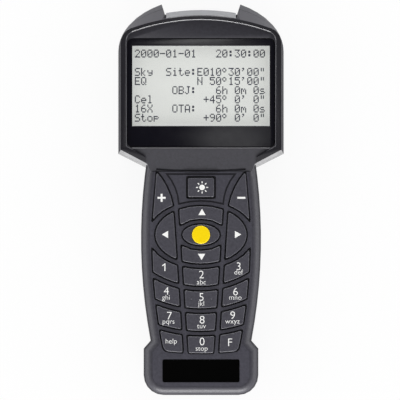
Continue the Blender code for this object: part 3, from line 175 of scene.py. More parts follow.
# %% Softboxes
BOX_AWAY, BOX_UP = 1.1, 0.17  # metres from the handset's middle
BOX_WIDE, BOX_TALL = 1.1, 0.36  # metres
BOX_WATTS = {(0, -1): 16.0, (0, 1): 10.0, (-1, 0): 3.0, (1, 0): 3.0}  # at the foot, the top and both sides

for side, watts in BOX_WATTS.items():
    softbox = bpy.data.lights.new("softbox", "AREA")
    softbox.shape, softbox.size, softbox.size_y, softbox.energy = "RECTANGLE", BOX_WIDE, BOX_TALL, watts
    lamp = set_down("softbox", softbox)
    lamp.location = (side[0] * BOX_AWAY, side[1] * BOX_AWAY, BOX_UP)
    lamp.rotation_euler = (-lamp.location).to_track_quat("-Z", "Y").to_euler()
    print("softbox at", side, "brightness", round(watts / (math.pi * BOX_WIDE * BOX_TALL), 2))

# %% [markdown]
# Two small round lamps hang over the head, one above its upper end and one above its lower right corner.
# They are too small to light anything by themselves, but the gloss black border of the window mirrors
# each as a soft patch, and that is what tells the eye that it is glossy.

# %% Lamps over the head
ROUND_UP, ROUND_WIDE = 0.7, 0.036  # metres
ROUND_LAMPS = ((0 * MM, 87 * MM, 0.0080), (17 * MM, 34 * MM, 0.0045))  # places across and along, and watts

for across, along, watts in ROUND_LAMPS:
    spot = bpy.data.lights.new("round_lamp", "AREA")
    spot.shape, spot.size, spot.energy = "DISK", ROUND_WIDE, watts
    lamp = set_down("round_lamp", spot)
    lamp.location = (across, along, ROUND_UP)
    lamp.visible_camera = False  # they hang between the camera and the head
    print("round lamp, brightness", round(watts / (math.pi * ROUND_WIDE / 2) ** 2, 2))

# %% [markdown]
# The table
#
# The handset lies on a white table that runs into a white background. More light would wash the handset
# out, so the table glows white instead where it is looked at, straight or in a mirror, and keeps a share
# of plain white paint, which takes the handset's soft shadow.

# %% Table
TABLE_HALF = 3.0  # metres
TABLE_DROP = 0.05 * MM  # the table lies just under the handset's back
GLOW_SHARE = 0.9

slab = bmesh.new()
bmesh.ops.create_grid(slab, x_segments=1, y_segments=1, size=TABLE_HALF,
                      matrix=Matrix.Translation((0, 0, -TABLE_DROP)))
table_mesh = bpy.data.meshes.new("table")
slab.to_mesh(table_mesh)
slab.free()
table = set_down("table", table_mesh)

white_table = bpy.data.materials.new("white_table")
white_table.use_nodes = True
tree = white_table.node_tree
tree.nodes.clear()
ray = add(tree, "ShaderNodeLightPath")
looked = add(tree, "ShaderNodeMath", {0: ray.outputs["Is Camera Ray"], 1: ray.outputs["Is Glossy Ray"]},
             operation="MAXIMUM")
looked = add(tree, "ShaderNodeMath", {0: looked.outputs[0], 1: ray.outputs["Is Transmission Ray"]},
             operation="MAXIMUM")
share = add(tree, "ShaderNodeMath", {0: looked.outputs[0], 1: GLOW_SHARE}, operation="MULTIPLY")
paint = add(tree, "ShaderNodeBsdfDiffuse", {"Color": linear("#f4f4f4")})
glow = add(tree, "ShaderNodeEmission", {"Color": WHITE, "Strength": 1.0})
both = add(tree, "ShaderNodeMixShader", {0: share.outputs[0], 1: paint.outputs[0], 2: glow.outputs[0]})
add(tree, "ShaderNodeOutputMaterial", {"Surface": both.outputs[0]})
table_mesh.materials.append(white_table)
bpy.context.scene.view_settings.view_transform = "Standard"
print("table", 2 * TABLE_HALF, "m wide")

# %% [markdown]
# Finishes
#
# Moulded plastic is never one flat colour. The steel mould was spark-eroded or blasted, which leaves a
# fine grain, and handling leaves slow patches that are a touch shinier. The function below builds that
# pair of patterns for any base colour, at sizes given in millimetres, and each finish then changes only
# what differs.

# %% The common finish
GRAIN = 0.3  # mm, the usual size of the grain
DETAIL, BREAK_UP = 2.0, 0.8  # layers of finer noise, and how much of them the patches show
SMOOTHEST = 0.02  # no finish is less rough than this
FACTOR, FIRST, SECOND, MIXED = 0, 6, 7, 2  # a Mix node's sockets for its factor, two colours and result


def finish(name, colour, rough, grain=GRAIN, relief=0.004, mottle=0.06, spread=0.05, patch=7.0, **sockets):
    """A surface with a grain in relief and with patches in its colour and its gloss. Sizes are in mm."""
    material = bpy.data.materials.new(name)
    material.use_nodes = True
    tree = material.node_tree
    tree.nodes.clear()
    place = add(tree, "ShaderNodeTexCoord").outputs["Object"]
    fine = add(tree, "ShaderNodeTexNoise", {"Vector": place, "Scale": 1 / (grain * MM), "Detail": DETAIL})
    slow = add(tree, "ShaderNodeTexNoise", {
        "Vector": place, "Scale": 1 / (patch * MM), "Detail": DETAIL, "Roughness": BREAK_UP})
    tint = add(tree, "ShaderNodeMix", {
        FACTOR: slow.outputs["Fac"], FIRST: linear(colour, 1 - mottle), SECOND: linear(colour, 1 + mottle),
    }, data_type="RGBA")
    gloss = add(tree, "ShaderNodeMapRange", {
        "Value": slow.outputs["Fac"], "To Min": max(SMOOTHEST, rough - spread), "To Max": rough + spread})
    bump = add(tree, "ShaderNodeBump", {"Height": fine.outputs["Fac"], "Distance": relief * MM})
    shader = add(tree, "ShaderNodeBsdfPrincipled", {
        "Base Color": tint.outputs[MIXED], "Roughness": gloss.outputs["Result"],
        "Normal": bump.outputs["Normal"], **sockets})
    add(tree, "ShaderNodeOutputMaterial", {"Surface": shader.outputs["BSDF"]})
    return material


print("a grain of", GRAIN, "mm is noise at a scale of", round(1 / (GRAIN * MM)))

# %% [markdown]
# The case is one dark grey plastic, but its mould was coarse in some places, fine in others and polished
# in a few, and handling has changed it since. Each of these surfaces is a finish of its own, with a
# colour and a gloss matched to the photograph. The keys, the window, the lamp's lens, the print and the
# display follow.

# %% Finishes of the outside
SPARK = 1.3  # mm; the real spark grain is under 0.1 mm, and is drawn this coarse so that it shows at all

finishes = {
    # dark grey ABS with a fine spark grain: a dull face whose rounded edges still catch the light
    "abs_dark_grey": finish("grained_abs", "#37363e", 0.42, mottle=0.5, patch=SPARK),
    # the head's panel and the neck, from a finer part of the mould that scatters less light
    "head_panel": finish("fine_abs", "#2a2930", 0.42, mottle=0.5, patch=SPARK),
    # the same plastic from a polished part of the mould: darker to look straight into, brighter at a glance
    "polished": finish("polished_abs", "#1d1c21", 0.17, relief=0.001),
    # the flanks, drawn straight out of a coarse mould: the dullest part of the case. The floors of the
    # grooves round the keypad take it too, as painted shade
    "flank": finish("coarse_abs", "#27262c", 0.9, relief=0.008),
    # the narrow chamfer round each key's opening: painted shade, nearly black, so that the gap looks darker
    # and wider
    "painted_gap_shade": finish("painted_gap_shade_abs", "#0d0d10", 0.9),
    # the level face round the keys and of the base, rubbed by hands until it is as smooth as the keys
    "keypad_face": finish("handled_abs", "#42414a", 0.40, mottle=0.45, patch=SPARK),
    # the rim's inner chamfer: glossy, so that it mirrors the softboxes, and coloured paler than the rim as a
    # painted highlight
    "painted_rim_highlight": finish("painted_rim_highlight_abs", "#3a393f", 0.14, relief=0.0005, **{"Specular IOR Level": 0.8}),
    # the horns: the same grain on a slope
    "crown": finish("crown_abs", "#2c2b32", 0.6, mottle=0.3, patch=SPARK),
    # the flanks under the head's corners: smooth, so that they mirror the table, and coloured paler than the
    # other flanks as a painted highlight
    "smooth_flank_painted_highlight": finish("smooth_highlight_abs", "#4a4950", 0.10, relief=0.0005, spread=0.03),
    # key plastic, a shade lighter and smoother than the case, worn by fingertips
    "key_grey": finish("key_abs", "#424149", 0.40, relief=0.003, mottle=0.45, patch=SPARK),
    # acrylic printed black on its underside: a deep, faintly blue black under a clear gloss
    "gloss_black_acrylic": finish("printed_acrylic", "#070610", 0.09, relief=0.0002, spread=0.03),
    # the base plate's face: black enamel, neutral and so dark that hardly anything is mirrored in it
    "plate_enamel": finish("black_enamel", "#020202", 0.2, relief=0.0002, **{"Specular IOR Level": 0.1}),
    # bright yellow key plastic: clean, even and only a little shiny
    "yellow_enamel": finish("yellow_abs", "#f5d500", 0.38, relief=0.002, mottle=0.04,
                            **{"Specular IOR Level": 0.25}),
    # polycarbonate moulded frosted, milky in the light of its two lamps
    "frosted_lens": finish("frosted_polycarbonate", "#636468", 0.34, relief=0.003,
                           **{"Subsurface Weight": 0.25, "Subsurface Radius": (0.002, 0.002, 0.002)}),
    # white screen ink: matt, thick enough to hide the grey under it
    "ink": finish("white_ink", "#f5f5f3", 0.6, grain=0.12, relief=0.002, mottle=0.03),
    # the display's rear polariser over its pale reflector, faintly lit from behind
    "display_glass": finish("display_film", "#c6c8c5", 0.3, relief=0.0005, mottle=0.02,
                            **{"Emission Color": linear("#d8dad6"), "Emission Strength": 0.56}),
    # a dot of the display switched dark: deep blue liquid crystal
    "dot": finish("dark_crystal", "#060f38", 0.5, relief=0.0005, mottle=0.05),
}
print("outside finishes:", ", ".join(finishes))

# %% [markdown]
# The pieces inside show only when the case is opened, or through a gap. The photograph says nothing of
# them, so each follows the usual material of such a part.

# %% Finishes of the inside
finishes.update({
    # glass-filled nylon of the socket and the frames: dull black
    "black_nylon": finish("black_nylon", "#17171a", 0.5, relief=0.006),
    # screws: zinc over steel, slightly blue and clouded
    "zinc_steel": finish("zinc_plate", "#b9bcc2", 0.32, grain=0.15, relief=0.001, spread=0.1, Metallic=1.0),
    # glass-epoxy board under green solder mask, with the weave showing through
    "board_laminate": finish("solder_mask", "#1d5a35", 0.3, grain=0.5, relief=0.01, mottle=0.2),
    # backlight: white sheet that spreads the lamps' light
    "white_diffuser": finish("white_sheet", "#eceeee", 0.5, relief=0.002),
    # keypad mat: soft black rubber with a dusty bloom
    "silicone": finish("silicone_rubber", "#18181a", 0.7, grain=0.2, relief=0.006, mottle=0.12),
    # lamp bodies: red epoxy
    "red_led": finish("red_epoxy", "#b3161a", 0.15, relief=0.0005,
                      **{"Emission Color": linear("#ff2a20"), "Emission Strength": 0.15}),
    # ribbon: amber polyimide film
    "ribbon_film": finish("polyimide_film", "#c07a1e", 0.25, relief=0.001, mottle=0.15),
    # contacts: gold over nickel
    "gold_plate": finish("gold_plate", "#e2b04a", 0.22, grain=0.1, relief=0.0005, Metallic=1.0),
})
for name, solid in solids.items():
    solid.data.materials.clear()
    solid.data.materials.append(finishes[slot_of[name]])
print("every solid has one of", len(finishes), "finishes")

# %% [markdown]
# Dressing a solid
#
# A CAD solid reaches Blender as loose triangles with knife-sharp edges. On the real moulding every edge
# has a small radius, and it is that radius that draws the thin bright lines of the photograph. A dressed
# copy is welded, its flat faces are made whole, its edges are rounded, and it then stands for the solid.

# %% Clean copies and their edges
WELD = 0.001 * MM  # corners closer than this become one
SLIVER = 0.005 * MM  # triangles thinner than this are closed
FLAT_UNDER = math.radians(0.3)  # edges flatter than this are taken out
SHARP = 30  # degrees; edges that turn by more than this are worth rounding, unless a step says otherwise


def welded(name):
    """A copy of a solid with its triangles welded, its slivers closed and its flat faces made whole."""
    work = bmesh.new()
    work.from_mesh(solids[name].data)
    bmesh.ops.remove_doubles(work, verts=work.verts, dist=WELD)
    bmesh.ops.dissolve_degenerate(work, dist=SLIVER, edges=work.edges)
    bmesh.ops.dissolve_limit(work, angle_limit=FLAT_UNDER, verts=work.verts, edges=work.edges)
    return work


def edge_middle(edge):
    """The middle of an edge."""
    return (edge.verts[0].co + edge.verts[1].co) / 2


def creases(work, wanted, least=SHARP):
    """The outward edges that turn by more than an angle, in degrees, and whose middle passes a test."""
    return [edge for edge in work.edges
            if len(edge.link_faces) == 2 and edge.is_convex
            and edge.calc_face_angle() > math.radians(least)
            and wanted(edge_middle(edge))]


def top_creases(work, top, depth, least=SHARP):
    """The outward edges that lie within a depth under a piece's top."""
    return creases(work, lambda middle: middle.z > top - depth, least)


sample = welded("front_cover")
print("front_cover:", len(solids["front_cover"].data.polygons), "triangles,", len(sample.faces), "faces")
sample.free()

# %% Rounding and showing
SMOOTH_UNDER = math.radians(32)  # edges flatter than this are shaded as one surface


def rounded(work, edges, radius, segments=2, clamp=True, finish_number=-1):
    """Rounds edges, or with one segment chamfers them. The new faces may take a finish of their own."""
    bmesh.ops.bevel(work, geom=edges, offset=radius, offset_type="OFFSET", affect="EDGES",
                    segments=segments, profile=0.5, material=finish_number, clamp_overlap=clamp)


def show(work, name, body, finish_names, stands_for=()):
    """Turns the work into a shown piece that rides on a body and stands for some solids."""
    mesh = bpy.data.meshes.new(name)
    work.to_mesh(mesh)
    work.free()
    mesh.shade_smooth()
    mesh.set_sharp_from_angle(angle=SMOOTH_UNDER)
    for each in finish_names:
        mesh.materials.append(finishes[each])
    piece = set_down(name, mesh)
    piece.modifiers.new("even_light", "WEIGHTED_NORMAL").keep_sharp = True  # flat faces take light evenly
    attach(piece, body)
    if stands_for:
        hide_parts(*stands_for)
    return piece


print("edges that turn by less than", round(math.degrees(SMOOTH_UNDER)), "degrees look smooth")

# %% [markdown]
# The two shells
#
# A front and a rear shell make up the case. The rim round the head is polished, the head's panel and the
# neck are fine, the flanks are coarse, the horns slope, and hands have smoothed the face round the keys.
# These areas could be painted by hand, but each of them lies at a height, a place or an angle of its own,
# so a plain rule sorts the faces and still holds if the shell changes a little.

# %% Where each shell finish lies
RIM_LOW = 31.15 * MM  # the rim's faces lie above this
CROWN_LOW = 80 * MM  # the horns and the crown between them lie past this
NECK_LOW = 15 * MM  # the neck and the head lie past this
UNDER_LOW, UNDER_HIGH = 12 * MM, 34 * MM  # the flanks under the head's corners lie between these
WEB_Z = 27.5 * MM  # the web between the keys
GROOVE_LOW, GROOVE_HIGH = 26.5 * MM, 27.3 * MM  # the floors of the grooves round the keypad
LEVEL = 0.05 * MM  # what is this close to a height lies on it
FLAT_UP = 0.999  # a level face's normal rises by more than this
STEEP = 0.5  # a flank's normal rises or falls by less than this
TO_FOOT = -0.4  # along the handset, a normal under this looks towards the foot
SHELL_FINISHES = ["abs_dark_grey", "polished", "flank", "smooth_flank_painted_highlight", "crown", "painted_rim_highlight", "head_panel",
                  "painted_gap_shade", "keypad_face"]


def shell_finish(face):
    """The finish that a face of a shell has by its place in the mould, or has been given by a chamfer."""
    middle, normal = face.calc_center_median(), face.normal
    given = SHELL_FINISHES[face.material_index]
    if middle.z > RIM_LOW:
        # the rim's chamfer keeps its painted highlight; the rest of the rim is polished
        return given if given == "painted_rim_highlight" else "polished"
    if middle.y > CROWN_LOW and middle.z < WEB_Z:
        return "crown"
    # the chamfers round the key openings keep their painted shade
    if given == "painted_gap_shade":
        return given
    if abs(normal.z) < STEEP:
        # the flanks under the head's corners that face the foot take the paler colour of a painted highlight
        under_head = UNDER_LOW < middle.y < UNDER_HIGH and normal.y < TO_FOOT
        return "smooth_flank_painted_highlight" if under_head else "flank"
    # the floors of the grooves take the dark flank finish: painted shade in the grooves
    if GROOVE_LOW < middle.z < GROOVE_HIGH and normal.z > FLAT_UP:
        return "flank"
    if abs(middle.z - WEB_Z) < LEVEL and normal.z > FLAT_UP:
        return "keypad_face"
    return "head_panel" if middle.y > NECK_LOW else given


def show_shell(work, name, solid):
    """Gives each face of a shell its finish and shows the shell in place of its solid."""
    for face in work.faces:
        face.material_index = SHELL_FINISHES.index(shell_finish(face))
    piece = show(work, name, "handset", SHELL_FINISHES, [solid])
    used = {face.material_index for face in piece.data.polygons}
    print(name, "has", len(piece.data.polygons), "faces in", len(used), "finishes")


print("shell finishes to choose from:", len(SHELL_FINISHES))

# %% [markdown]
# The rim's inner edge has a narrow chamfer that runs round the window; it mirrors the softboxes as a thin
# bright line, and its paler colour is a painted highlight. The edge of each key's opening has a smaller one,
# painted nearly black as painted shade, which makes the gap look wider. A bevel of one segment makes both,
# and gives its new faces their finish.

# %% Front shell
RIM_TOP, RIM_EDGES = 32.0 * MM, 31.9 * MM  # the rim's top, and the height above which edges belong to it
RIM_CHAMFER = 0.5 * MM
RIM_LIFT = 0.09 * MM  # lifts the chamfer's foot, so that it looks up at the softboxes, not along the table
HEAD_MIDDLE = Vector((0, 52 * MM, 0))
PAD_LOW, PAD_HIGH = -74 * MM, 13 * MM  # the keypad's two ends
OPENING_CHAMFER = 0.22 * MM
OPENING_TURN = 60  # degrees; an opening's edge turns by more than this
RIM_HIGHLIGHT, GAP_SHADE = SHELL_FINISHES.index("painted_rim_highlight"), SHELL_FINISHES.index("painted_gap_shade")


def upright_face(edge):
    """The more upright of an edge's two faces."""
    return min(edge.link_faces, key=lambda face: abs(face.normal.z))


def faces_head(edge):
    """True for an edge of the rim whose upright face looks inwards, over the window."""
    return upright_face(edge).normal.dot(edge_middle(edge) - HEAD_MIDDLE) < 0


def in_keypad(middle):
    """True for a place on the web's level, between the keypad's two ends."""
    return abs(middle.z - WEB_Z) < LEVEL and PAD_LOW < middle.y < PAD_HIGH


def opens_deep(edge):
    """True for an edge whose upright face goes deeper than a groove does: an edge of a key's opening."""
    return min(vert.co.z for vert in upright_face(edge).verts) < GROOVE_LOW


front = welded("front_cover")
rim = [edge for edge in creases(front, lambda middle: middle.z > RIM_EDGES) if faces_head(edge)]
rim_count = len(rim)
# the rim's chamfer takes the paler colour of a painted highlight
rounded(front, rim, RIM_CHAMFER, segments=1, clamp=False, finish_number=RIM_HIGHLIGHT)
chamfer_foot = {vert for face in front.faces if face.material_index == RIM_HIGHLIGHT for vert in face.verts
                if vert.co.z < RIM_TOP - RIM_CHAMFER / 2}
bmesh.ops.translate(front, vec=(0, 0, RIM_LIFT), verts=list(chamfer_foot))
openings = [edge for edge in creases(front, in_keypad, OPENING_TURN) if opens_deep(edge)]
opening_count = len(openings)
# the openings' chamfers are coloured nearly black: painted shade that widens the gaps
rounded(front, openings, OPENING_CHAMFER, segments=1, clamp=False, finish_number=GAP_SHADE)
show_shell(front, "front_shell", "front_cover")
print("edges chamfered:", rim_count, "of the rim and", opening_count, "of the openings")

# %% [markdown]
# The rear shell lies on its back, so little of it shows from above. A handset is turned over in the hand,
# though, and a sharp back edge would look like cut card. So its back edges get the small radius of a
# moulding.

# %% Rear shell
BACK_EDGES = 3 * MM  # edges under this height belong to the back
BACK_TURN = 50  # degrees; a back edge turns by more than this
BACK_RADIUS = 0.15 * MM

rear = welded("rear_cover")
back = creases(rear, lambda middle: middle.z < BACK_EDGES, BACK_TURN)
back_count = len(back)
rounded(rear, back, BACK_RADIUS)
show_shell(rear, "rear_shell", "rear_cover")
print("edges rounded at the back:", back_count)

# %% [markdown]
# The keys
#
# Each key is one moulding with a rounded top edge, and the enter key carries a yellow disc. A Bevel
# modifier that goes by angle would round the hidden edges too, so the edges near the top are picked out
# and only they are rounded. Each key rides on its own body, so that it can be pressed, and the disc goes
# with its key.

# %% Keys
KEY_RADIUS, KEY_EDGE = 0.16 * MM, 0.5 * MM  # the rounding, and how deep under the top its edges lie
KEY_TURN = 15  # degrees; a top edge turns by more than this
DISC_RADIUS, DISC_EDGE = 0.25 * MM, 0.2 * MM
STEPS = 3  # flats that make up a rounding

keys = sorted(name for name in solids if name.startswith("key_") and slot_of[name] == "key_grey")
key_top = {name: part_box(name)[1].z for name in keys}
for name in keys:
    key = welded(name)
    rounded(key, top_creases(key, key_top[name], KEY_EDGE, KEY_TURN), KEY_RADIUS, STEPS)
    show(key, name + "_moulding", name, ["key_grey"], [name])

disc = welded("enter_key_cap")
rounded(disc, top_creases(disc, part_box("enter_key_cap")[1].z, DISC_EDGE), DISC_RADIUS, STEPS)
show(disc, "enter_disc", "key_enter", ["yellow_enamel"], ["enter_key_cap"])
print(len(keys), "keys and the yellow disc")

# %% [markdown]
# The keypad mat
#
# Under the keys lies a sheet of silicone rubber with a hollow dome for each key, and it is the dome that
# springs the key back. A rigid mat would be cut by every key that is pressed. So the mat's solid is
# sliced level, just above its sheet: the sheet stays still, and each dome is a piece of its own. On the real
# mat the dome flattens as its key goes down; here it stays as it is, on the handset's body.

# %% Tools for the mat
DOME_FOOT = 22.52 * MM  # the level of the cut
key_middle = {name: (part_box(name)[0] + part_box(name)[1]).xy / 2 for name in keys}


def nearest_key(place):
    """The key whose middle is nearest to a place, seen from above."""
    return min(keys, key=lambda name: (key_middle[name] - place.xy).length)


def cut(work, place, normal, near, **halves):
    """Cuts all of the work along a plane. Corners nearer to the plane than a distance count as on it."""
    bmesh.ops.bisect_plane(work, geom=work.verts[:] + work.edges[:] + work.faces[:], dist=near,
                           plane_co=place, plane_no=normal, **halves)


def mat_slice(upper):
    """The part of the mat above the cut or below it, with the cut rings sorted by key and still open."""
    work = welded("keypad_mat")
    cut(work, (0, 0, DOME_FOOT), (0, 0, 1), WELD, clear_inner=upper, clear_outer=not upper)
    rings = {name: [] for name in keys}
    for edge in work.edges:
        if edge.is_boundary:
            rings[nearest_key(edge.verts[0].co)].append(edge)
    return work, rings


print("the mat is cut", in_mm([DOME_FOOT])[0], "mm above the table")

sheet, sheet_rings = mat_slice(upper=False)
ring_edges = sum(len(ring) for ring in sheet_rings.values())
for ring in sheet_rings.values():
    bmesh.ops.bridge_loops(sheet, edges=ring)
show(sheet, "mat_sheet", "handset", ["silicone"], ["keypad_mat"])

for name in keys:
    dome, dome_rings = mat_slice(upper=True)
    bmesh.ops.bridge_loops(dome, edges=dome_rings[name])
    others = [vert for vert in dome.verts if nearest_key(vert.co) != name]
    bmesh.ops.delete(dome, geom=others, context="VERTS")
    bmesh.ops.recalc_face_normals(dome, faces=dome.faces)
    dome_piece = show(dome, name + "_dome", "handset", ["silicone"])
    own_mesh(dome_piece)
print(len(keys), "domes on a sheet, with", ring_edges, "edges round the cuts")

# %% [markdown]
# The legends
#
# Screen printing lays a thin film of white ink on the key. An image on the key's top would do for a far
# view, but it blurs close up, so the print is made solid: letters and figures are text curves turned into
# mesh, and the arrows, the signs and the sun are flat shapes from mesh operators. All of them are then
# given the thickness of the ink, and their lower side sinks a little into the key so that no gap shows.

# %% Letters
THINNER = 0.008  # taken off each side of a letter's strokes, in shares of the font's size
LETTER_WELD = 0.0005  # corners of a letter closer than this are one, in the same shares


def flat_text(text):
    """A flat mesh of a line of text, centred, at the font's own size."""
    curve = bpy.data.curves.new("line", "FONT")
    curve.body = text
    curve.align_x, curve.align_y, curve.offset = "CENTER", "CENTER", -THINNER
    line = set_down("line", curve)
    bpy.context.view_layer.update()
    mesh = line.evaluated_get(bpy.context.evaluated_depsgraph_get()).to_mesh()
    flat = bmesh.new()
    flat.from_mesh(mesh)
    bpy.data.objects.remove(line)
    bmesh.ops.remove_doubles(flat, verts=flat.verts, dist=LETTER_WELD)
    bmesh.ops.dissolve_degenerate(flat, dist=LETTER_WELD, edges=flat.edges)
    return flat


sample = flat_text("0")
FIGURE = max(vert.co.y for vert in sample.verts) - min(vert.co.y for vert in sample.verts)
sample.free()
print("a figure is", round(FIGURE, 3), "of the font's size")

# %% Flat shapes
HALF_SIDE = 0.5  # create_grid takes half a side, so this gives a square with sides of 1


def letters(text, height):
    """A flat mesh of a line of text, centred, with figures of the given height."""
    flat = flat_text(text)
    bmesh.ops.scale(flat, vec=(height / FIGURE, height / FIGURE, 1.0), verts=flat.verts)
    return flat


def bar(wide, tall, turn=0.0, out=0.0):
    """A flat bar, moved outwards along its length and then turned, in millimetres and degrees."""
    flat = bmesh.new()
    place = Matrix.Rotation(math.radians(turn), 4, "Z") @ Matrix.Translation((out * MM, 0, 0))
    bmesh.ops.create_grid(flat, x_segments=1, y_segments=1, size=HALF_SIDE,
                          matrix=place @ Matrix.Diagonal((wide * MM, tall * MM, 1, 1)))
    return flat


def round_spot(radius, sides=32, turn=0.0):
    """A flat disc, or with three sides an arrowhead that points up until it is turned. In mm and degrees."""
    flat = bmesh.new()
    bmesh.ops.create_circle(flat, cap_ends=True, segments=sides, radius=radius * MM,
                            matrix=Matrix.Rotation(math.radians(turn), 4, "Z"))
    return flat


sample = round_spot(1)
print("a disc of 1 mm radius has", len(sample.verts), "corners")
sample.free()

# %% Ink
INK = 0.03 * MM  # thickness of the film above what it lies on
SINK = 0.01 * MM  # and how far it sinks in


def thicken(flat, height):
    """Gives a flat shape the ink's thickness, on a surface at a height."""
    made = bmesh.ops.extrude_face_region(flat, geom=flat.faces[:], use_keep_orig=True)
    upper = [part for part in made["geom"] if isinstance(part, bmesh.types.BMVert)]
    bmesh.ops.translate(flat, vec=(0, 0, INK + SINK), verts=upper)
    bmesh.ops.translate(flat, vec=(0, 0, height - SINK), verts=flat.verts)
    bmesh.ops.recalc_face_normals(flat, faces=flat.faces)


def stamp(target, flat, where, height):
    """Adds a flat shape to a print, moved to its place and given the ink's thickness at its height."""
    for vert in flat.verts:
        vert.co.z = 0.0
    bmesh.ops.recalc_face_normals(flat, faces=flat.faces)
    bmesh.ops.translate(flat, vec=(where.x, where.y, 0), verts=flat.verts)
    thicken(flat, height)
    mesh = bpy.data.meshes.new("stamp")
    flat.to_mesh(mesh)
    flat.free()
    target.from_mesh(mesh)
    bpy.data.meshes.remove(mesh)


print("the ink stands", round(INK / MM, 3), "mm above the keys")

# %% [markdown]
# The photograph gives each legend's place, as picture elements across and down. Figures are about 3.8 mm
# high, and the letters below them come from a font of about two thirds of that size.

# %% Figures and letters
FIGURE_HIGH, LETTER_HIGH = 3.75 * MM, 2.35 * MM
WORDS = {
    "key_2": [("2", 201.5, 275.0), ("abc", 201.4, 282.3)],
    "key_3": [("3", 238.7, 266.7), ("def", 238.4, 272.4)],
    "key_4": [("4", 166.4, 291.4), ("ghi", 166.1, 297.6)],
    "key_5": [("5", 201.5, 297.4), ("jkl", 201.3, 303.7)],
    "key_6": [("6", 235.5, 292.0), ("mno", 235.3, 297.6)],
    "key_7": [("7", 169.3, 316.2), ("pqrs", 168.5, 321.6)],
    "key_8": [("8", 202.1, 320.2), ("tuv", 201.5, 326.1)],
    "key_9": [("9", 232.7, 315.7), ("wxyz", 232.5, 321.4)],
    "key_0": [("0", 202.1, 342.0), ("stop", 201.6, 348.6)],
    "key_help": [("help", 171.2, 341.4)],
    "key_f": [("F", 229.9, 342.8)],
}

prints = {name: bmesh.new() for name in keys if name != "key_enter"}


def ink_on(name, flat, where, under=0.0):
    """Stamps a flat shape on a key, at its top or a little under it."""
    stamp(prints[name], flat, where, key_top[name] - under)


for name, lines in WORDS.items():
    for text, across, down in lines:
        height = LETTER_HIGH if text.isalpha() and len(text) > 1 else FIGURE_HIGH
        ink_on(name, letters(text, height), at_pixel(across, down))
print(sum(len(lines) for lines in WORDS.values()), "lines of text on", len(WORDS), "keys")

# %% [markdown]
# The arrows are circles of three sides, and the signs, the rays of the sun and the plain figure one are
# bars. Where two bars meet, the second stops at the first or lies a shade lower, so that no two faces
# fight for one place.

# %% Arrows, signs and the sun
ARROW = 2.05  # mm, from an arrowhead's middle to its corners
ARROWS = {  # picture elements across and down, and the turn in degrees
    "key_up": (202.0, 213.0, 0), "key_down": (201.6, 255.9, 180),
    "key_left": (166.0, 234.5, 90), "key_right": (237.0, 234.5, 270),
}
SIGN_LONG, SIGN_WIDE = 3.9, 0.95  # mm, bars of the plus and minus signs
PLUS, MINUS = at_pixel(161.6, 197.8), at_pixel(241.3, 197.8)
ONE_STEM, ONE_FLAG, ONE_WIDE = 3.75, 1.25, 0.5  # mm, the figure one's stem and flag, and their width
ONE, FLAG_TURN = at_pixel(164.9, 267.2), 215  # degrees
SUN, SUN_RADIUS = at_pixel(202.1, 187.4), 1.35  # mm
RAYS, RAY_LONG, RAY_WIDE, RAY_OUT = 8, 0.95, 0.5, 2.45  # their number, and mm

for name, (across, down, turn) in ARROWS.items():
    ink_on(name, round_spot(ARROW, 3, turn), at_pixel(across, down))

flag_end = Vector((-ONE_WIDE / 2, ONE_STEM / 2 - ONE_WIDE)) * MM
ink_on("key_1", bar(ONE_WIDE, ONE_STEM), ONE)
ink_on("key_1", bar(ONE_FLAG, ONE_WIDE, FLAG_TURN, ONE_FLAG / 2), ONE + flag_end, under=INK / 4)

arm = (SIGN_LONG - SIGN_WIDE) / 2
ink_on("key_minus", bar(SIGN_LONG, SIGN_WIDE), MINUS)
ink_on("key_plus", bar(SIGN_LONG, SIGN_WIDE), PLUS)
for turn in (90, 270):
    ink_on("key_plus", bar(arm, SIGN_WIDE, turn, (arm + SIGN_WIDE) / 2), PLUS)

ink_on("key_light", round_spot(SUN_RADIUS), SUN)
for ray_number in range(RAYS):
    ink_on("key_light", bar(RAY_LONG, RAY_WIDE, 360 / RAYS * ray_number, RAY_OUT), SUN)

for name, work in prints.items():
    show(work, name + "_legend", name, ["ink"])
print(len(prints), "printed keys")

# %% [markdown]
# Two small pips beside the figure five tell a thumb in the dark where the middle of the keypad is. They
# are moulded with the key. A ball pressed flat and half sunk in the key gives the same low bump, without
# cutting into its mesh.

# %% Pips
PIP_RADIUS, PIP_FLAT = 0.42 * MM, 0.5  # and the share of its height that a pip keeps
PIPS = (at_pixel(191.0, 299.0), at_pixel(211.3, 299.0))

pips = bmesh.new()
for where in PIPS:
    place = Matrix.Translation((where.x, where.y, key_top["key_5"]))
    bmesh.ops.create_uvsphere(pips, u_segments=16, v_segments=8, radius=PIP_RADIUS,
                              matrix=place @ Matrix.Diagonal((1, 1, PIP_FLAT, 1)))
show(pips, "key_5_pips", "key_5", ["key_grey"])
print(len(PIPS), "pips,", round(PIP_RADIUS * PIP_FLAT / MM, 2), "mm high")

# %% [markdown]
# The display
#
# The window is a sheet of acrylic, printed black round a clear opening. One sheet with two materials
# would still have to be cut at the opening. So the printed border is a ring cut out of the window's own
# solid, and a thin clear pane fills the ring, so that light reaches the display below.

# %% Window border
VIEW_LOW, VIEW_HIGH = Vector((-33.4, 35.75)) * MM, Vector((33.4, 74.65)) * MM  # the opening's corners
CUT_NEAR = 0.0001 * MM  # corners this close to a cut lie on it
BORDER_RADIUS, BORDER_TURN = 0.2 * MM, 60  # degrees; the border's upper edges turn by more than this


def in_view(face):
    """True for a face inside the clear opening."""
    middle = face.calc_center_median()
    return VIEW_LOW.x < middle.x < VIEW_HIGH.x and VIEW_LOW.y < middle.y < VIEW_HIGH.y


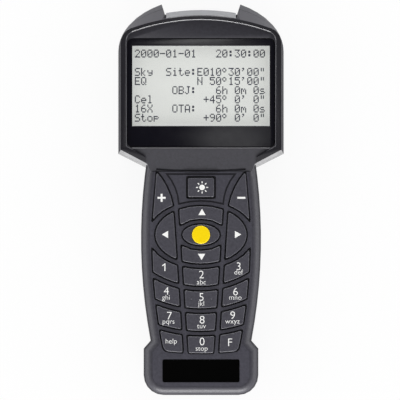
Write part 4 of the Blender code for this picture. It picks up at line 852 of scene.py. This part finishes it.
border = welded("display_window")
for corner, inward in ((VIEW_LOW, 1), (VIEW_HIGH, -1)):
    for normal in ((inward, 0, 0), (0, inward, 0)):
        cut(border, (corner.x, corner.y, 0), normal, CUT_NEAR)
bmesh.ops.delete(border, geom=[face for face in border.faces if in_view(face)], context="FACES")
bmesh.ops.bridge_loops(border, edges=[edge for edge in border.edges if edge.is_boundary])
window_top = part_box("display_window")[1].z
rounded(border, top_creases(border, window_top, LEVEL, BORDER_TURN), BORDER_RADIUS)
show(border, "window_border", "handset", ["gloss_black_acrylic"], ["display_window"])
view = VIEW_HIGH - VIEW_LOW
print("clear opening in mm:", in_mm(view))

# %% Window pane
PANE_THICK, PANE_DOWN = 0.4 * MM, 0.35 * MM  # and the depth of its middle under the border's top

# clear acrylic: almost nothing to see but a faint sheen
finishes["clear"] = finish("clear_acrylic", "#202224", 0.06, relief=0.0002, spread=0.02, Alpha=0.05)
middle = (VIEW_HIGH + VIEW_LOW) / 2
place = Matrix.Translation((middle.x, middle.y, window_top - PANE_DOWN))
pane = bmesh.new()
bmesh.ops.create_cube(pane, size=1.0, matrix=place @ Matrix.Diagonal((view.x, view.y, PANE_THICK, 1)))
show(pane, "window_pane", "handset", ["clear"])
print("pane", round(PANE_THICK / MM, 2), "mm thick")

# %% [markdown]
# The readout
#
# The display has 128 by 64 dots, which hold eight lines of 21 characters, each character five dots by
# seven in a cell of six by eight. A font would not show the single dots, so each glyph is drawn here as
# seven rows of dots.

# %% Glyphs
GLYPHS = {
    "0": ".###. #...# #..## #.#.# ##..# #...# .###.", "1": "..#.. .##.. ..#.. ..#.. ..#.. ..#.. .###.",
    "2": ".###. #...# ....# ...#. ..#.. .#... #####", "3": "##### ...#. ..#.. ...#. ....# #...# .###.",
    "4": "...#. ..##. .#.#. #..#. ##### ...#. ...#.", "5": "##### #.... ####. ....# ....# #...# .###.",
    "6": "..##. .#... #.... ####. #...# #...# .###.", "9": ".###. #...# #...# .#### ....# ...#. .##..",
    "-": "..... ..... ..... ##### ..... ..... .....", "+": "..... ..#.. ..#.. ##### ..#.. ..#.. .....",
    ":": "..... .##.. .##.. ..... .##.. .##.. .....", "'": ".##.. ..#.. .#... ..... ..... ..... .....",
    '"': ".#.#. .#.#. .#.#. ..... ..... ..... .....", "o": "..... ..... .###. #...# #...# #...# .###.",
    "A": ".###. #...# #...# #...# ##### #...# #...#", "B": "####. #...# #...# ####. #...# #...# ####.",
    "C": ".###. #...# #.... #.... #.... #...# .###.", "E": "##### #.... #.... ####. #.... #.... #####",
    "J": "..### ...#. ...#. ...#. ...#. #..#. .##..", "N": "#...# #...# ##..# #.#.# #..## #...# #...#",
    "O": ".###. #...# #...# #...# #...# #...# .###.", "Q": ".###. #...# #...# #...# #.#.# #..#. .##.#",
    "S": ".#### #.... #.... .###. ....# ....# ####.", "T": "##### ..#.. ..#.. ..#.. ..#.. ..#.. ..#..",
    "X": "#...# #...# .#.#. ..#.. .#.#. #...# #...#", "e": "..... ..... .###. #...# ##### #.... .###.",
    "h": "#.... #.... #.##. ##..# #...# #...# #...#", "i": "..#.. ..... .##.. ..#.. ..#.. ..#.. .###.",
    "k": "#.... #.... #..#. #.#.. ##... #.#.. #..#.", "l": ".##.. ..#.. ..#.. ..#.. ..#.. ..#.. .###.",
    "m": "..... ..... ##.#. #.#.# #.#.# #...# #...#", "p": "..... ..... ####. #...# ####. #.... #....",
    "s": "..... ..... .###. #.... .###. ....# ####.", "t": ".#... .#... ###.. .#... .#... .#..# ..##.",
    "y": "..... ..... #...# #...# .#### ....# .###.", "°": ".##.. #..#. #..#. .##.. ..... ..... .....",
}
print(len(GLYPHS), "glyphs")

# %% [markdown]
# The text is a made-up reading. On the real display a dark dot is a square of liquid crystal that has
# been switched on. Here each one becomes a thin tile on the glass, a little smaller than its pitch, as on
# the real one.

# %% Readout
READOUT = [
    "2000-01-01   20:30:00", "", "Sky  Site:E010°30'00\"", "EQ        N 50°15'00\"",
    "      OBJ:   6h 0m 0s", "Cel        +45° 0' 0\"", "16X   OTA:   6h 0m 0s", "Stop       +90° 0' 0\"",
]
CELL_WIDE, CELL_TALL = 6, 8  # dots
DOT_ACROSS, DOT_DOWN = 0.506 * MM, 0.557 * MM  # pitch of the dots
DOT_FILL = 0.96  # how much of its pitch a dot fills
MARGIN_LEFT, MARGIN_TOP = 1.24 * MM, 1.73 * MM  # from the clear opening to the text
TEXT_LEFT, TEXT_TOP = VIEW_LOW.x + MARGIN_LEFT, VIEW_HIGH.y - MARGIN_TOP


def add_dot(work, column, row):
    """Adds a flat dot, counted from the text's upper left corner."""
    place = (TEXT_LEFT + (column + 0.5) * DOT_ACROSS, TEXT_TOP - (row + 0.5) * DOT_DOWN, 0)
    bmesh.ops.create_grid(work, x_segments=1, y_segments=1, size=HALF_SIDE * DOT_FILL,
                          matrix=Matrix.Translation(place) @ Matrix.Diagonal((DOT_ACROSS, DOT_DOWN, 1, 1)))


dots = bmesh.new()
for line_number, line in enumerate(READOUT):
    for cell, character in enumerate(line):
        for row, pattern in enumerate(GLYPHS.get(character, "").split()):
            for column, mark in enumerate(pattern):
                if mark == "#":
                    add_dot(dots, cell * CELL_WIDE + column, line_number * CELL_TALL + row)
dot_count = len(dots.faces)
thicken(dots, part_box("lcd_glass")[1].z)
show(dots, "readout_dots", "handset", ["dot"])
print(dot_count, "dark dots; longest line", max(len(line) for line in READOUT))

# %% [markdown]
# The base plate
#
# A small black plate is let into the base. Its face is enamelled and its upper edge is a little round. It
# could be built from a box, but its own solid has the right outline already, so rounding that edge is all
# it needs.

# %% Base plate
PLATE_RADIUS, PLATE_EDGE = 0.12 * MM, 0.1 * MM  # the rounding, and how deep under the top its edges lie

plate = welded("name_plate")
plate_edges = top_creases(plate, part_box("name_plate")[1].z, PLATE_EDGE)
plate_count = len(plate_edges)
rounded(plate, plate_edges, PLATE_RADIUS)
show(plate, "base_plate", "handset", ["plate_enamel"], ["name_plate"])
print("edges rounded on the plate:", plate_count)
